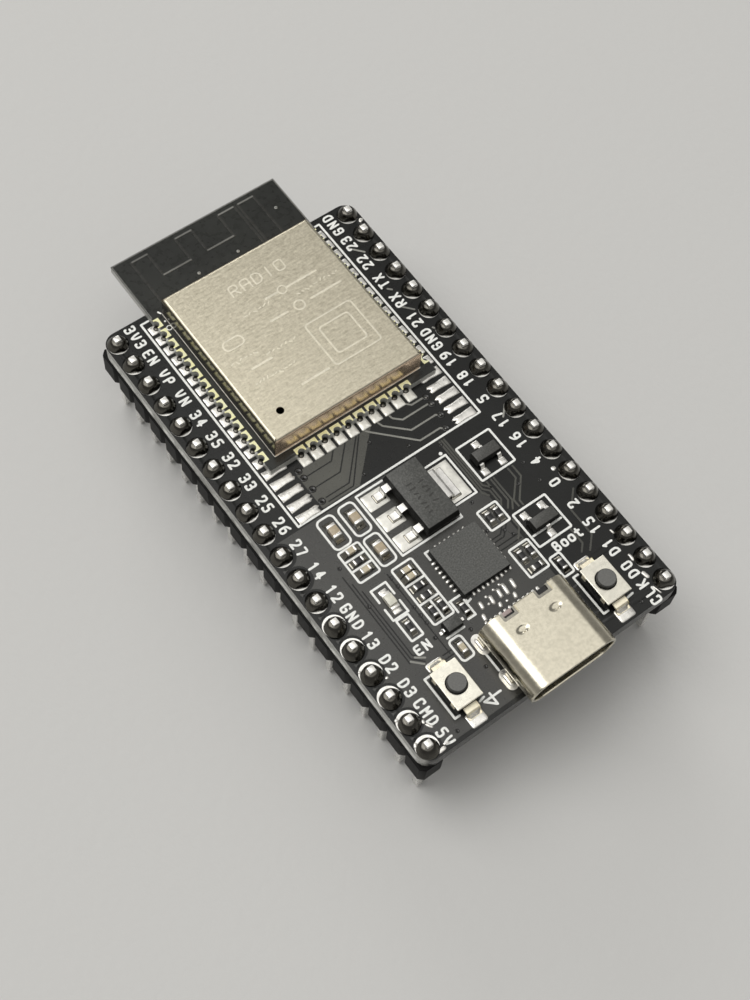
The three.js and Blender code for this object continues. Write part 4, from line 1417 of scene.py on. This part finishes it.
def add_lamp():
    """A pale base with a clear lens between two soldered ends."""
    low, high = local_box("power_led")
    cx, cy = middle(low, high)
    base, lens, ends = Shape(), Shape(), Shape()
    base.block((cx, cy), (0.8, 1.6, 0.28), 0.05, 0.03)
    lens.block((cx, cy), (0.8, 1.0, 0.3), 0.3, 0.07)
    for side in (-1, 1):
        ends.block((cx, cy + side * 0.68), (0.82, 0.3, 0.34), 0.03, 0.04)
        ends.dome(pad_outline(cx, cy + side * 0.95, 0.4, 0.3, 0.05, 2), PAD_LIFT, 0.08)
    base.piece("lamp_base", LAMP_BODY, "led_body", replaces=("power_led",))
    lens.piece("lamp_lens", LAMP_LENS, "led_body")
    ends.solder("lamp_ends")


# ---- push switches

# Solder on a terminal, past the end of the cover: (reach, half width, top).
TERMINAL_RAMP = [(0.4, 0.66, 0.56), (0.6, 0.66, 0.5), (0.66, 0.64, 0.3), (0.78, 0.56, 0.2),
                 (0.95, 0.42, 0.14)]


def add_switch(name):
    """The CAD cover and plunger stay; the moulded base and its terminals are drawn here."""
    low, high = local_box(f"{name}_switch_cover")
    cx, cy = middle(low, high)
    width, length = high.x - low.x, high.y - low.y
    end = length / 2
    floor_top = 0.42
    base, metal, pads, grip = Shape(), Shape(), Shape(), Shape()
    outline = pad_outline(cx, cy, width / 2 - 0.05, end - 0.05, 0.12, 3)
    base.sheet([outline], floor_top, low.z - 0.01, [circle_outline(cx, cy, 1.06, 32)])
    base.sheet([outline], 0.04, floor_top)
    path = [(end - 0.35, 0.72), (end + 0.5, 0.7), (end + 0.58, 0.12), (end + 0.95, 0.1)]
    ramp = [(end + reach, half, top) for reach, half, top in TERMINAL_RAMP]
    for side, pad_end in ((-1, 1.65), (1, 1.15)):
        turn = side * math.pi / 2
        metal.strip(path, 0.17, 1.38, (cx, cy), turn, 0.08)
        y0, y1 = sorted((cy + side * (end + 0.35), cy + side * (end + pad_end)))
        pads.dome(rounded_outline(cx - 0.8, cx + 0.8, y0, y1, 0.2), PAD_LIFT, 0.07)
        grip.ramp(ramp, place_at(cx, cy, turn=turn))
        for edge in (-1, 1):
            clip = (cx + edge * (width / 2 - 0.03), cy + side * 1.25)
            metal.block(clip, (0.1, 0.5, 0.55), low.z - 0.45, 0.02)
    base.piece(f"{name}_switch_body", SWITCH_PLASTIC, "switch_plastic", replaces=(f"{name}_switch_base",))
    metal.piece(f"{name}_switch_terminals", TERMINAL_METAL, "cover_metal")
    pads.solder(f"{name}_switch_pads")
    grip.solder(f"{name}_switch_fillets")
    dress(f"{name}_switch_cover", COVER_METAL, 0.05, smooth=0)
    dress(f"{name}_plunger", PLUNGER_PLASTIC)
    dress(f"{name}_switch_dome", LEAD_METAL)


# ---- CAD nodes that stay

def dress_frame():
    dress("board_pcb", MASK, 0.1)
    dress("radio_pcb", RADIO_MASK, 0.06)
    for side in ("left", "right"):
        dress(f"header_strip_{side}", HEADER_PLASTIC, 0.08)
        for i in range(PIN_COUNT):
            dress(f"pin_{side}_{i + 1:02d}", PIN_METAL, 0.04)
    dress("radio_chip", PACKAGE)
    dress("flash_chip", PACKAGE)
    dress("usb_housing", SWITCH_PLASTIC, 0.04)
    dress("usb_bridge_chip", PACKAGE, 0.05)


add_camera()
add_studio()
add_floor()
dress_frame()
add_mask_relief()
add_ink()
add_pin_joints()
add_splashes()
add_board_pads()
add_radio_pads()
add_aerial()
add_radio_marks()
add_can()
add_usb_shell()
add_usb_tabs()
add_usb_core()
add_usb_specks()
add_usb_contacts()
add_regulator()
add_transistors()
add_bridge_pads()
add_diode()
add_passives()
add_lamp()
for switch in ("en", "boot"):
    add_switch(switch)
